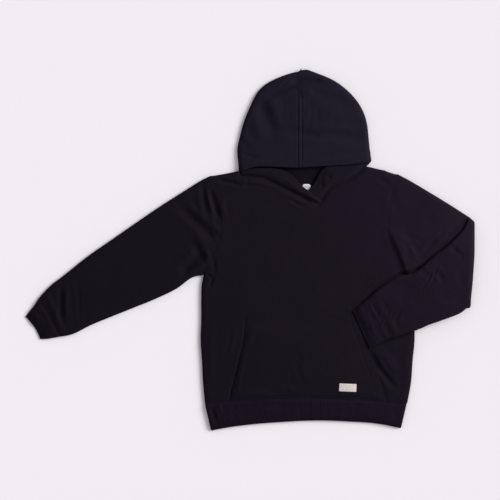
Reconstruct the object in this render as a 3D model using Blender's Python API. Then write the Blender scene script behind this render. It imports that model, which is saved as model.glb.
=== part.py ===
"""A toddler's pullover hoodie in brushed cotton fleece, laid flat with its front up.

One sleeve lies straight out, the other is folded back at the elbow over the front. The tables give
the pieces' outlines as laid, in millimetres: X across the chest, Y from the hem to the hood, and the
heights are Z up from the surface that the garment lies on. Meshes are made in metres.
"""

import math
from collections import namedtuple

import bmesh
import bpy
import numpy as np

MM = 0.001

# Thickness of each cloth, and the gaps left where pieces meet
FLEECE = 1.8
RIB = 2.0
POCKET_WALL = 1.6
LABEL_WALL = 0.8
SEAM_GAP = 0.4
LAYER_GAP = 0.3

# Heights of the layers above the surface
EDGE = 3.5  # the middle of a folded or sewn outer edge
BODY_TOP = 7.0
LOWEST_TOP = 4.2  # the bottom of the deepest trough
HIGHEST_TOP = 7.9
HOLLOW = 3.9  # the most room between a back and a front wall
BAND_TOP = 7.1
BAND_END_DROP = 0.6
POCKET_PUFF = 0.9
ARM_THICK = 7.0
FOLD_CENTRE = 7.25  # the elbow's fold turns about a line at this height
CUFF_END_DROP = 0.15

# Where the folded forearm climbs onto the pocket
CLIMB_START_X = 232.0
CLIMB_RUN = 36.0
CLIMB = 2.2

# The hood's upper layer, low on the crown and high where its rim lies on the fronts
CROWN_TOP = 7.5
RIM_TOP = 9.4
RIM_SLOPE = 42.0
RIM_SAG = 0.8
RIM_SAG_X = 96.0
RIM_SAG_WIDTH = 26.0

# The hood's front corners: the left one climbs over the right one, and both swell between edges
CORNER_TOP = 6.4
CROSSING_X = 62.0
CROSSING_RUN = 34.0
CROSSING_RISE = 3.0
LEFT_SWELL = 1.0
RIGHT_SWELL = 0.9

# Roundings, seen from above
EDGE_ROUND = 5.0
UNDER_ROUND = 3.5
ARM_ROUND = 4.0

# Ribs, as ridges raised in the outer wall
RIB_RISE = 0.6
BAND_RIBS = 112
CUFF_RIBS = 25

ARMPIT_Y = -40.0
SHOULDER_Y = {1: 118.5, 2: 121.0}  # top of each armhole, by the column of its edge in BODY
CLEAR_OF_POCKET = 9.0  # the front lies level under the pocket and this far round it

# Sections of the body: y, left edge x, right edge x. The armholes are the rows above the armpit.
BODY = (
    (-246, -72, 251),
    (-214, -75, 257),
    (-176, -77, 260),
    (-144, -79, 263),
    (-112, -78, 262),
    (-80, -78, 256),
    (-54, -77, 251),
    (-40, -74, 248),
    (-19, -66, 239),
    (0, -56, 229),
    (24, -48, 221),
    (56, -47, 220),
    (88, -53, 226),
    (117, -63, 236),
)

# Top edge of the front: x, y, and 1 where a shoulder rounds down or 0 where the neck seam runs.
FRONT_TOP = (
    (-52, 120, 1),
    (-42, 122, 1),
    (-31, 124, 1),
    (-22, 126, 1),
    (-15, 118, 0),
    (3, 117, 0),
    (19, 115, 0),
    (40, 106, 0),
    (52, 100, 0),
    (64, 94, 0),
    (80, 86, 0),
    (96, 79, 0),
    (108, 75, 0),
    (114, 79, 0),
    (118, 87, 0),
    (123, 95, 0),
    (130, 101, 0),
    (140, 106, 0),
    (152, 111, 0),
    (163, 117, 0),
    (175, 126, 0),
    (184, 135, 0),
    (194, 132.5, 1),
    (208, 130, 1),
    (224, 127, 1),
)

# Top edge of the back, from shoulder to shoulder round the back of the neck.
BACK_TOP = (
    (-42, 122, 1),
    (-22, 126, 1),
    (-17, 124, 0),
    (-4, 117, 0),
    (14, 112, 0),
    (34, 109, 0),
    (56, 107, 0),
    (82, 106, 0),
    (106, 107, 0),
    (130, 109, 0),
    (150, 112, 0),
    (168, 118, 0),
    (178, 127, 0),
    (184, 135, 0),
    (194, 132.5, 1),
    (216, 127.5, 1),
)

# Seam between the body and the waistband, and the hem: x, y.
BAND_SEAM = (
    (-72, -246),
    (-32, -242),
    (16, -239),
    (90, -237),
    (160, -239),
    (208, -242),
    (250.4, -245),
)
HEM = (
    (-62, -288),
    (-32, -283.5),
    (0, -279.5),
    (48, -275.5),
    (112, -273),
    (160, -274.5),
    (208, -278.5),
    (241, -285),
)

# Sections of the sleeves and cuffs: upper edge x, y, lower edge x, y.
STRAIGHT_SLEEVE = (
    (-63, 118, -74, -39),
    (-80, 109.5, -93, -43.5),
    (-106, 93.3, -118, -61.8),
    (-144, 69.4, -152, -78.5),
    (-182, 43.5, -186, -92.3),
    (-221, 16.4, -221, -106.3),
    (-259, -10, -253, -119.5),
    (-298, -41, -278, -132.3),
    (-318, -56.3, -291, -136.5),
    (-337, -76.3, -303, -138.3),
)
STRAIGHT_CUFF = (
    (-337, -76.3, -303, -138.3),
    (-345.5, -89.5, -317, -140.8),
    (-352.5, -98, -327, -142.3),
    (-359.8, -106.6, -335.5, -143),
)
UPPER_ARM = (
    (236, 121, 248, -40),
    (256, 110.5, 269, -50),
    (288, 91.5, 298, -64),
    (320, 72, 324, -78),
    (351.6, 50.5, 347, -92),
)
FOREARM = (
    (351.6, 50.5, 347, -92),
    (341, 33, 336, -100),
    (327, 18, 324, -105.6),
    (313, 5, 311, -110.3),
    (298, -6, 298, -115),
    (284, -18, 285, -119.5),
    (272, -29, 274, -124.5),
    (258, -38, 262, -129),
    (240, -42, 250, -133),
    (222, -51, 239, -136.5),
    (205, -63, 231, -139),
    (189, -76.5, 224.5, -140.5),
)
FOLDED_CUFF = (
    (189, -76.5, 224.5, -140.5),
    (180, -84, 213, -145.5),
    (171, -91.5, 201, -151.5),
    (164, -97.5, 191, -157),
)

# Hood, as laid up from the neck: the outline's y, left x, right x, from the crown down.
HOOD = (
    (288.2, 83.5, 92),
    (284.8, 72.8, 101),
    (281.8, 62.8, 109),
    (277.8, 51.2, 119.6),
    (271.8, 37.2, 132.3),
    (264.8, 25.1, 143.5),
    (255.8, 15.1, 154.7),
    (244.8, 7.5, 165.6),
    (234.8, 2.7, 173.3),
    (221, -3.4, 181),
    (202, -10.7, 186.9),
    (182, -16, 189.3),
    (163, -20, 191.2),
    (150, -20, 193),
    (140, -19, 194.4),
    (125, -18, 195),
)

# The hemmed edge of the hood's face opening, which lies across its lower end: x, y.
RIM = (
    (-18, 125),
    (-9, 127.6),
    (0, 130.4),
    (10, 132.6),
    (32, 132.8),
    (56, 131.6),
    (76, 131),
    (100, 132.6),
    (128, 134.2),
    (154, 135.6),
    (176, 138),
    (195, 141.5),
)

# Paths over each half of the hood: x at the rim, y at the outline, x at the back neck seam.
LEFT_HOOD_PATHS = (
    (79.4, 287, 79.4),
    (72, 283.5, 70),
    (62, 277.5, 56),
    (50, 271, 45),
    (38, 261, 34),
    (26, 245, 24),
    (15, 222, 14),
    (6, 202, 5),
    (-2, 180, -4),
    (-8, 162, -10),
    (-11, 146, -13),
    (-14.5, 130, -17),
)
RIGHT_HOOD_PATHS = (
    (79.8, 287, 79.8),
    (88, 288.1, 88),
    (98, 284, 97),
    (107, 279, 106),
    (119, 271, 118),
    (131, 259, 130),
    (142, 241, 140),
    (153, 222, 150),
    (163, 204, 159),
    (172, 186, 168),
    (180, 170, 173),
    (185, 155, 178),
    (189, 141.5, 184),
)

# Front corners of the hood, which cross over at the neck: seam x, y, free edge x, y.
LEFT_FRONT = (
    (-13, 118.4, -13, 128),
    (3, 117.5, 8, 131),
    (19, 115.5, 33, 131),
    (29.9, 110.9, 46, 129.5),
    (39.9, 106.6, 57, 125.5),
    (51.9, 100.6, 67.5, 119),
    (63.9, 94.6, 76, 110),
    (73.9, 89.6, 82, 103),
    (81.9, 85.7, 88, 98.5),
    (89.9, 82.2, 95.5, 93.5),
    (99.9, 78.3, 103.5, 87),
    (108.9, 76.1, 111.5, 80.5),
    (115, 73.5, 116, 77),
)
RIGHT_FRONT = (
    (183.7, 135.4, 179, 139),
    (174.6, 126.4, 158, 136),
    (162.8, 117.5, 134, 134.5),
    (151.8, 111.5, 117.5, 131.5),
    (139.8, 106.5, 110, 121),
    (129.7, 101.4, 104.5, 110),
    (122.6, 95.3, 98, 101),
    (117.5, 87.2, 92.5, 95),
    (113.5, 79.3, 89, 88),
)

# Kangaroo pocket, from its top edge down: y, left x, right x.
POCKET = (
    (-107, -5, 173),
    (-128, -8, 179),
    (-152, -12, 188),
    (-176, -18, 196),
    (-200, -24, 206),
    (-221, -29, 213),
    (-236, -32, 217),
)

# Labels: centre x, centre y, width, length, turn in degrees.
HEM_LABEL = (156, -219.5, 27.5, 12.5, -2.5)
NECK_LABEL = (90.2, 99.6, 13.4, 11.4, 0.0)

# Largest folds: start x, y, end x, y, width, depth. A negative depth is a ridge.
BODY_FOLDS = (
    (-100, 62, -50, 20, 22, 1.5),
    (-84, 14, -72, -16, 18, 2.4),
    (-70, -12, -98, -30, 18, 2.0),
    (-60, 8, -64, -22, 14, -0.7),
    (-56, -8, -53, -52, 16, 0.9),
    (214, 26, 234, -2, 16, 2.0),
    (228, 6, 250, -38, 20, 2.6),
    (240, 14, 262, -30, 18, -0.8),
    (282, 4, 318, 34, 16, 1.2),
    (-299, -52, -294, -116, 16, 1.6),
    (-110, 30, -250, -50, 34, 0.9),
    (-190, 10, -230, -70, 26, 0.7),
    (10, 112, 66, 88, 12, 1.1),
    (60, 92, 116, 68, 12, 1.1),
    (170, 112, 122, 76, 12, 1.1),
    (192, -157, 238, -210, 18, 1.5),
    (-26, -118, -36, -190, 16, 0.8),
)
FOREARM_FOLDS = (
    (262, -26, 306, -54, 18, 1.1),
    (332, 10, 308, -28, 16, 1.2),
    (250, -60, 236, -110, 20, 0.9),
    (300, -60, 330, -78, 20, 0.8),
)
HOOD_FOLDS = (
    (-4, 190, 176, 186, 26, 1.4),
    (24, 236, 66, 178, 22, 1.1),
    (60, 272, 120, 272, 18, 0.8),
)


def smooth_step(share):
    """0 up to 0 and 1 from 1, with an S-curve between."""
    share = np.clip(share, 0.0, 1.0)
    return share * share * (3.0 - 2.0 * share)


def read(table, column, at):
    """A column's value at places along the first column, on a smooth curve through the rows."""
    rows = np.array(sorted(table), float)
    place, value = rows[:, 0], rows[:, column]
    at = np.clip(at, place[0], place[-1])
    slope = np.gradient(value, place)
    low = np.clip(np.searchsorted(place, at, side="right") - 1, 0, len(place) - 2)
    step = place[low + 1] - place[low]
    t = (at - place[low]) / step
    return (
        (2 * t**3 - 3 * t**2 + 1) * value[low]
        + (t**3 - 2 * t**2 + t) * step * slope[low]
        + (3 * t**2 - 2 * t**3) * value[low + 1]
        + (t**3 - t**2) * step * slope[low + 1]
    )


def section_at(table, share):
    """The upper and the lower edge point at a share of the way through a table of sections."""
    rows = [(i / (len(table) - 1), *row) for i, row in enumerate(table)]
    values = [float(read(rows, column, share)) for column in (1, 2, 3, 4)]
    return np.array(values[:2]), np.array(values[2:])


def fold_depth(folds, x, y):
    """How far the cloth goes down at a place: soft troughs along straight lines, faded at both ends."""
    depth = np.zeros(np.broadcast(x, y).shape)
    for x0, y0, x1, y1, width, deep in folds:
        long = math.hypot(x1 - x0, y1 - y0)
        way_x, way_y = (x1 - x0) / long, (y1 - y0) / long
        share = ((x - x0) * way_x + (y - y0) * way_y) / long
        off = (x - x0) * way_y - (y - y0) * way_x
        ends = smooth_step((0.5 - np.abs(share - 0.5)) / 0.25)
        depth = depth + deep * np.exp(-((off / (0.5 * width)) ** 2)) * ends
    return depth


def level(height):
    """A flat height for every place."""
    return lambda x, y: height + 0 * x


def near_pocket(x, y):
    """1 on the pocket and just round it, 0 further away."""
    low, high = POCKET[-1][0] - CLEAR_OF_POCKET, POCKET[0][0] + CLEAR_OF_POCKET
    left = read(POCKET, 1, y) - CLEAR_OF_POCKET
    right = read(POCKET, 2, y) + CLEAR_OF_POCKET
    return (x > left) & (x < right) & (y > low) & (y < high)


def body_top(x, y):
    """Height of the top of the front and of both upper sleeves."""
    depth = fold_depth(BODY_FOLDS, x, y) * np.where(near_pocket(x, y), 0.0, 1.0)
    return np.clip(BODY_TOP - depth, LOWEST_TOP, HIGHEST_TOP)


def body_inside(x, y):
    """Height of the front's inner side, clear of the back and never far above it."""
    return np.clip(body_top(x, y) - FLEECE, FLEECE + LAYER_GAP, FLEECE + HOLLOW)


def pocket_top(x, y):
    """Height of the pocket, which stands off the front most in its middle."""
    low, high = POCKET[-1][0], POCKET[0][0]
    left, right = read(POCKET, 1, y), read(POCKET, 2, y)
    up = np.sin(np.pi * np.clip((y - low) / (high - low), 0, 1))
    across = np.sin(np.pi * np.clip((x - left) / (right - left), 0, 1))
    return BODY_TOP + LAYER_GAP + POCKET_WALL + POCKET_PUFF * up * np.sqrt(across)


def forearm_under(x, y):
    """Height of the folded forearm's underside, which climbs onto the pocket near the cuff."""
    climb = CLIMB * smooth_step((CLIMB_START_X - x) / CLIMB_RUN)
    return 2 * FOLD_CENTRE - ARM_THICK + climb + 0 * y


def forearm_top(x, y):
    return forearm_under(x, y) + ARM_THICK - fold_depth(FOREARM_FOLDS, x, y)


def hood_top(x, y):
    """Height of the hood's upper layer."""
    rim_y = np.interp(x, [row[0] for row in RIM], [row[1] for row in RIM])
    rise = smooth_step(1.0 - (y - rim_y) / RIM_SLOPE)
    sag = RIM_SAG * np.exp(-(((x - RIM_SAG_X) / RIM_SAG_WIDTH) ** 2)) * rise
    return CROWN_TOP + (RIM_TOP - CROWN_TOP) * rise - sag - fold_depth(HOOD_FOLDS, x, y)


# Meshes ---------------------------------------------------------------------------------------

# One section of a flattened tube. across gives x and y at shares of the way from one edge to the
# other, middle is the height of its edges, top and base give the heights of its two sides, and turn
# is how far it is turned about the elbow's fold line.
Section = namedtuple("Section", "across middle top base turn", defaults=(0.0,))

FLEECE_COLOUR = (0.0105, 0.0085, 0.0135)
RIB_COLOUR = (0.0095, 0.0080, 0.0115)
LABEL_COLOUR = (0.70, 0.64, 0.60)
SATIN_COLOUR = (0.62, 0.60, 0.66)
COTTON_ROUGH = 0.92
SATIN_ROUGH = 0.45


def cloth(name, colour, roughness):
    material = bpy.data.materials.new(name + "_cloth")
    material.use_nodes = True
    shader = material.node_tree.nodes["Principled BSDF"]
    shader.inputs["Base Color"].default_value = (*colour, 1.0)
    shader.inputs["Roughness"].default_value = roughness
    shader.inputs["Metallic"].default_value = 0.0
    return material


def triangles_between(a, b, c, d):
    """Two triangles for each quad whose corners are the four arrays of point numbers."""
    a, b, c, d = (np.ravel(corner) for corner in (a, b, c, d))
    return np.concatenate([np.stack([a, b, c], 1), np.stack([a, c, d], 1)])


def wall(name, grids, colour, roughness, tube=False):
    """An object whose wall lies between two grids of points in millimetres, closed along its edges.

    The outer and the inner grid have the same rows and columns. On a tube the last column joins
    the first, and only the two ends are closed.
    """
    outer, inner = grids
    rows, columns = outer.shape[:2]
    out = np.arange(rows * columns).reshape(rows, columns)
    if tube:
        out = np.concatenate([out, out[:, :1]], 1)
    into = out + rows * columns
    faces = [
        triangles_between(out[:-1, :-1], out[:-1, 1:], out[1:, 1:], out[1:, :-1]),
        triangles_between(into[:-1, :-1], into[1:, :-1], into[1:, 1:], into[:-1, 1:]),
        triangles_between(out[0, 1:], out[0, :-1], into[0, :-1], into[0, 1:]),
        triangles_between(out[-1, :-1], out[-1, 1:], into[-1, 1:], into[-1, :-1]),
    ]
    if not tube:
        faces.append(triangles_between(out[:-1, 0], out[1:, 0], into[1:, 0], into[:-1, 0]))
        faces.append(triangles_between(out[1:, -1], out[:-1, -1], into[:-1, -1], into[1:, -1]))
    points = np.concatenate([outer.reshape(-1, 3), inner.reshape(-1, 3)]) * MM
    mesh = bpy.data.meshes.new(name)
    mesh.from_pydata(points.tolist(), [], np.concatenate(faces).tolist())
    work = bmesh.new()
    work.from_mesh(mesh)
    bmesh.ops.recalc_face_normals(work, faces=work.faces)
    work.to_mesh(mesh)
    work.free()
    mesh.shade_smooth()
    mesh.materials.append(cloth(name, colour, roughness))
    obj = bpy.data.objects.new(name, mesh)
    bpy.context.scene.collection.objects.link(obj)
    return obj


def quarter(count):
    """Angles from an edge, 0, up onto the flat, a quarter turn."""
    return np.linspace(0.0, 0.5 * np.pi, count)


def about_fold(points, turn):
    """Points turned about the elbow's fold line, as a sleeve's layers are where it folds back."""
    first, last = (np.array(edge) for edge in (UPPER_ARM[-1][:2], UPPER_ARM[-1][2:]))
    along = (last - first) / np.linalg.norm(last - first)
    outward = np.array([-along[1], along[0]])
    reach = FOLD_CENTRE - points[:, 2]
    plan = points[:, :2] + outward * (reach * np.sin(turn))[:, None]
    return np.column_stack([plan, FOLD_CENTRE - reach * np.cos(turn)])


def loop_round(section, inset, corner, columns, under_columns, ribs):
    """One loop of points round a section, along its top and back along its base.

    The edges are rounded by corner, seen from above, and inset moves the loop inwards by the wall.
    """
    ends = section.across(np.array([0.0, 1.0]))
    width = float(np.linalg.norm(ends[1] - ends[0]))
    turn = quarter(4)
    plan = inset + (corner - inset) * (1 - np.cos(turn))
    flat = np.linspace(corner, width - corner, columns + 2)[1:-1]
    off_top = np.concatenate([plan, flat, width - plan[::-1]])
    out_top = np.concatenate([np.sin(turn), np.ones(columns), np.sin(turn[::-1])])
    flat = np.linspace(width - corner, corner, under_columns + 2)[1:-1]
    off_base = np.concatenate([width - plan[1:], flat, plan[:0:-1]])
    out_base = np.concatenate([np.sin(turn[1:]), np.ones(under_columns), np.sin(turn[:0:-1])])
    up, low = section.across(off_top / width), section.across(off_base / width)
    ridge = np.zeros(len(off_top))
    if ribs and not inset:
        ridge[len(turn) : -len(turn)] = RIB_RISE * (np.arange(columns) % 2)
    middle = section.middle
    top = middle + (section.top(*up.T) + ridge - inset - middle) * out_top
    base = middle + (section.base(*low.T) + inset - middle) * out_base
    points = np.concatenate([np.column_stack([up, top]), np.column_stack([low, base])])
    return about_fold(points, section.turn) if section.turn else points


def tube_grids(sections, thick, corner, columns, under_columns, ribs=False):
    """The outer and the inner grid of a flattened tube."""
    return [
        np.array([loop_round(s, inset, corner, columns, under_columns, ribs) for s in sections])
        for inset in (0.0, thick)
    ]


def straight_across(first, last):
    """Points at shares of the way along the straight line between two edge points."""
    return lambda share: first + (last - first) * np.asarray(share)[:, None]


def armhole_across(column, shift):
    """Points down an armhole, on the body's own edge moved sideways by the seam's gap."""

    def across(share):
        y = SHOULDER_Y[column] + (ARMPIT_Y - SHOULDER_Y[column]) * np.asarray(share)
        return np.column_stack([read(BODY, column, y) + shift, y])

    return across


def upper_sleeve(table, column, shift, count):
    """Sections from the armhole's curve, straightening on the way down the arm."""
    hole = armhole_across(column, shift)
    sections = []
    for share in np.linspace(0, 1, count):
        line = straight_across(*section_at(table, share))
        curved = float(smooth_step(1 - share / 0.4))

        def across(at, line=line, curved=curved):
            return line(at) * (1 - curved) + hole(at) * curved

        sections.append(Section(across, EDGE, body_top, level(0.0)))
    return sections


# Pieces ---------------------------------------------------------------------------------------


def body_panel(name, top_edge, middle, corner, outside, inside):
    """The front or the back, rounded to mid height at its sides and shoulders.

    It is cut square at the armholes and the neck. outside and inside give its heights on the flat.
    """
    turn, flat = quarter(5), len(top_edge)
    row_shares = np.concatenate([np.linspace(0, 0.36, 7), np.linspace(0.4, 1, 19)])
    edge_x, edge_y, shoulder = np.array(top_edge, float).T
    left, right = read(BODY, 1, edge_y), read(BODY, 2, edge_y)
    share = np.concatenate([np.zeros(5), (edge_x - left) / (right - left), np.ones(5)])
    line_y = np.concatenate([[SHOULDER_Y[1]] * 5, edge_y, [SHOULDER_Y[2]] * 5])
    shoulder = np.concatenate([np.ones(5), shoulder, np.ones(5)])
    side_turn = np.concatenate([turn, np.full(flat, 0.5 * np.pi), turn[::-1]])
    side = np.concatenate([np.ones(5), np.zeros(flat), -np.ones(5)])
    first, last = BODY[0][1], BODY[0][2]
    seam_x = first + (last - first) * share + side * corner * (1 - np.cos(side_turn))
    seam_y = read(BAND_SEAM, 1, seam_x) + SEAM_GAP
    flat_rows = seam_y + (line_y - corner - seam_y) * row_shares[:, None]
    down = np.concatenate([np.ones(len(row_shares)), np.sin(turn[::-1])])[:, None]
    grids = []
    for inset in (0.0, FLEECE):
        top_inset = inset * shoulder
        arc = top_inset + (corner - top_inset) * (1 - np.cos(turn[::-1]))[:, None]
        y = np.concatenate([flat_rows, line_y - arc])
        left, right = read(BODY, 1, y), read(BODY, 2, y)
        sewn = smooth_step((y - ARMPIT_Y) / 6.0 + 0.5)
        side_inset = inset * (1 - sewn)
        plan = side_inset + (corner - side_inset) * (1 - np.cos(side_turn))
        x = np.where(side > 0, left + plan, right - plan)
        x = np.where(side == 0, left + (right - left) * share, x)
        out = (1 - (1 - sewn) * (1 - np.sin(side_turn))) * (1 - shoulder * (1 - down))
        height = inside(x, y) if inset else outside(x, y)
        grids.append(np.stack([x, y, middle + (height - middle) * out], 2))
    return wall(name, grids, FLEECE_COLOUR, COTTON_ROUGH)


def body():
    half = 0.5 * LAYER_GAP
    body_panel("back_panel", BACK_TOP, EDGE - half, UNDER_ROUND, level(0.0), level(FLEECE))
    body_panel("front_panel", FRONT_TOP, EDGE + half, EDGE_ROUND, body_top, body_inside)


def straight_sleeve():
    sections = upper_sleeve(STRAIGHT_SLEEVE, 1, -SEAM_GAP, 18)
    grids = tube_grids(sections, FLEECE, ARM_ROUND, 9, 1)
    return wall("sleeve_straight", grids, FLEECE_COLOUR, COTTON_ROUGH, tube=True)


def folded_sleeve():
    """Upper arm on the surface, a half turn about the fold line, and the forearm on top.

    The forearm's heights are worked out as if unfolded, and then turned like the fold.
    """
    unfolded = 2 * FOLD_CENTRE
    sections = upper_sleeve(UPPER_ARM, 2, SEAM_GAP, 11)
    fold = straight_across(*section_at(UPPER_ARM, 1.0))
    for turn in np.radians((30, 60, 90, 120, 150, 180)):
        sections.append(Section(fold, 0.5 * ARM_THICK, level(ARM_THICK), level(0.0), turn))
    for share in np.linspace(0, 1, 15)[1:]:
        first, last = section_at(FOREARM, share)
        middle = unfolded - float(forearm_under(0.5 * (first + last)[0], 0.0)) - 0.5 * ARM_THICK
        sections.append(
            Section(
                straight_across(first, last),
                middle,
                lambda x, y: unfolded - forearm_under(x, y),
                lambda x, y: unfolded - forearm_top(x, y),
                np.pi,
            )
        )
    grids = tube_grids(sections, FLEECE, ARM_ROUND, 8, 8)
    return wall("sleeve_folded", grids, FLEECE_COLOUR, COTTON_ROUGH, tube=True)


def cuff(name, table, under):
    """A ribbed cuff, narrower at the wrist, on its own height above the surface."""
    first, last = section_at(table, 0.0)
    end_first, end_last = section_at(table, 1.0)
    way = (end_first + end_last) - (first + last)
    way = way / np.linalg.norm(way)
    centre = 0.25 * (first + last + end_first + end_last)
    middle = float(under(*centre)) + EDGE

    def top(x, y):
        return under(x, y) + ARM_THICK

    sections = []
    for share in (0.0, 0.33, 0.66, 0.95, 1.0):
        edges = [edge + SEAM_GAP * way * (1 - share) for edge in section_at(table, share)]
        sections.append(Section(straight_across(*edges), middle, top, under))
    grids = tube_grids(sections, RIB, EDGE, 2 * CUFF_RIBS + 1, 1, ribs=True)
    grids[0][-1, :, 2] += CUFF_END_DROP * (middle - grids[0][-1, :, 2])
    return wall(name, grids, RIB_COLOUR, COTTON_ROUGH, tube=True)


def waistband():
    """A ribbed tube from the body's seam to the hem, a little narrower at the hem."""
    seam_left, seam_width = BAND_SEAM[0][0], BAND_SEAM[-1][0] - BAND_SEAM[0][0]
    hem_left, hem_width = HEM[0][0], HEM[-1][0] - HEM[0][0]
    sections = []
    for share in (0.0, 0.12, 0.5, 0.9, 1.0):

        def across(along, share=share):
            seam_x, hem_x = seam_left + seam_width * along, hem_left + hem_width * along
            seam = np.column_stack([seam_x, read(BAND_SEAM, 1, seam_x)])
            hem = np.column_stack([hem_x, read(HEM, 1, hem_x)])
            return seam + (hem - seam) * share

        sections.append(Section(across, EDGE, level(BAND_TOP), level(0.0)))
    grids = tube_grids(sections, RIB, EDGE, 2 * BAND_RIBS + 1, 11, ribs=True)
    upper = grids[0][[0, -1], :, 2]
    drop = BAND_END_DROP * (upper - EDGE) / EDGE
    grids[0][[0, -1], :, 2] = np.where(upper > EDGE, upper - drop, upper)
    return wall("waistband", grids, RIB_COLOUR, COTTON_ROUGH, tube=True)


def hood_path(outline, end, inset, corner, flat_shares, height):
    """Points from the folded outline to an end on one layer, with a height at each."""
    turn = quarter(4)
    length = max(float(np.linalg.norm(end - outline)), corner + 2.0)
    inward = (end - outline) / float(np.linalg.norm(end - outline))
    plan = inset + (corner - inset) * (1 - np.cos(turn))
    off = np.concatenate([plan, corner + (length - corner) * np.array(flat_shares)])
    out = np.concatenate([np.sin(turn), np.ones(len(flat_shares))])
    xy = outline + inward * off[:, None]
    return np.column_stack([xy, EDGE + (height(*xy.T) - EDGE) * out])


def hood_half(name, column, paths):
    """Half of the hood: a folded sheet whose upper layer is the crown and whose lower one the back.

    Each row of the grid is one path, from the rim out over the upper layer, round the folded
    outline, and back along the lower layer to the neck seam.
    """
    rim_x, side_y, neck_x = np.array(paths, float).T
    neck_line = np.array([row[:2] for row in BACK_TOP], float).T
    neck = np.column_stack([neck_x, np.interp(neck_x, *neck_line) + 1.2 * SEAM_GAP])
    rim = np.column_stack([rim_x, read(RIM, 1, rim_x)])
    side = np.column_stack([read(HOOD, column, side_y), side_y])
    side[0, 0] = neck[0, 0]
    grids = []
    for inset in (0.0, FLEECE):

        def upper(x, y, inset=inset):
            return np.maximum(hood_top(x, y) - inset, FLEECE + LAYER_GAP)

        rows = []
        for on_side, on_rim, on_neck in zip(side, rim, neck, strict=True):
            over = hood_path(on_side, on_rim, inset, EDGE_ROUND, np.linspace(0, 1, 9)[1:], upper)
            under = hood_path(
                on_side, on_neck, inset, UNDER_ROUND, np.linspace(0, 1, 4)[1:], level(inset)
            )
            rows.append(np.concatenate([over[::-1], under[1:]]))
        grids.append(np.array(rows))
    return wall(name, grids, FLEECE_COLOUR, COTTON_ROUGH)


def front_corner(name, table, top, swell):
    """A front corner of the hood, from its neck seam to its free edge, swollen between the two."""
    share = np.linspace(0, 1, 6)
    rows = np.array(table, float)
    seam, edge = rows[:, None, :2], rows[:, None, 2:]
    plan = seam + (edge - seam) * share[:, None]
    x, y = plan[..., 0], plan[..., 1]
    height = top(x, y) + swell(x, y) * np.sin(np.pi * share) ** 2
    grids = [np.stack([x, y, height - inset], 2) for inset in (0.0, FLEECE)]
    return wall(name, grids, FLEECE_COLOUR, COTTON_ROUGH)


def hood():
    """Two halves joined by a seam over the crown, whose front corners cross over at the neck."""
    hood_half("hood_left", 1, LEFT_HOOD_PATHS)
    hood_half("hood_right", 2, RIGHT_HOOD_PATHS)

    def below_rim(y):
        return smooth_step((128.0 - y) / 12.0)

    front_corner(
        "hood_front_left",
        LEFT_FRONT,
        lambda x, y: CORNER_TOP + CROSSING_RISE * smooth_step((x - CROSSING_X) / CROSSING_RUN),
        lambda x, y: LEFT_SWELL * below_rim(y) * smooth_step((110.0 - x) / 20.0),
    )
    front_corner(
        "hood_front_right",
        RIGHT_FRONT,
        lambda x, y: CORNER_TOP - 0.4 * smooth_step((132.0 - x) / 20.0),
        lambda x, y: RIGHT_SWELL * below_rim(y) * smooth_step((x - 124.0) / 14.0),
    )


def pocket():
    """A kangaroo pocket on the front, with a hand opening up each side."""
    y = np.linspace(POCKET[0][0], POCKET[-1][0], 9)[:, None]
    left, right = read(POCKET, 1, y), read(POCKET, 2, y)
    x = left + (right - left) * np.linspace(0, 1, 15)
    y = y + 0 * x
    grids = [np.stack([x, y, pocket_top(x, y) - inset], 2) for inset in (0.0, POCKET_WALL)]
    return wall("pocket", grids, FLEECE_COLOUR, COTTON_ROUGH)


def label(name, place, under, colour):
    """A small woven label lying on the cloth under it."""
    x0, y0, width, length, degrees = place
    along, up = np.meshgrid(np.linspace(-0.5, 0.5, 5), np.linspace(0.5, -0.5, 3))
    turn = math.radians(degrees)
    x = x0 + along * width * math.cos(turn) - up * length * math.sin(turn)
    y = y0 + along * width * math.sin(turn) + up * length * math.cos(turn)
    top = under(x, y) + LAYER_GAP + LABEL_WALL
    grids = [np.stack([x, y, top - inset], 2) for inset in (0.0, LABEL_WALL)]
    return wall(name, grids, colour, SATIN_ROUGH)


def main():
    for obj in list(bpy.data.objects):
        bpy.data.objects.remove(obj)
    body()
    waistband()
    straight_sleeve()
    cuff("cuff_straight", STRAIGHT_CUFF, level(0.0))
    folded_sleeve()
    cuff("cuff_folded", FOLDED_CUFF, forearm_under)
    hood()
    pocket()
    label("hem_label", HEM_LABEL, pocket_top, LABEL_COLOUR)
    label("neck_label", NECK_LABEL, level(FLEECE), SATIN_COLOUR)


main()
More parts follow.
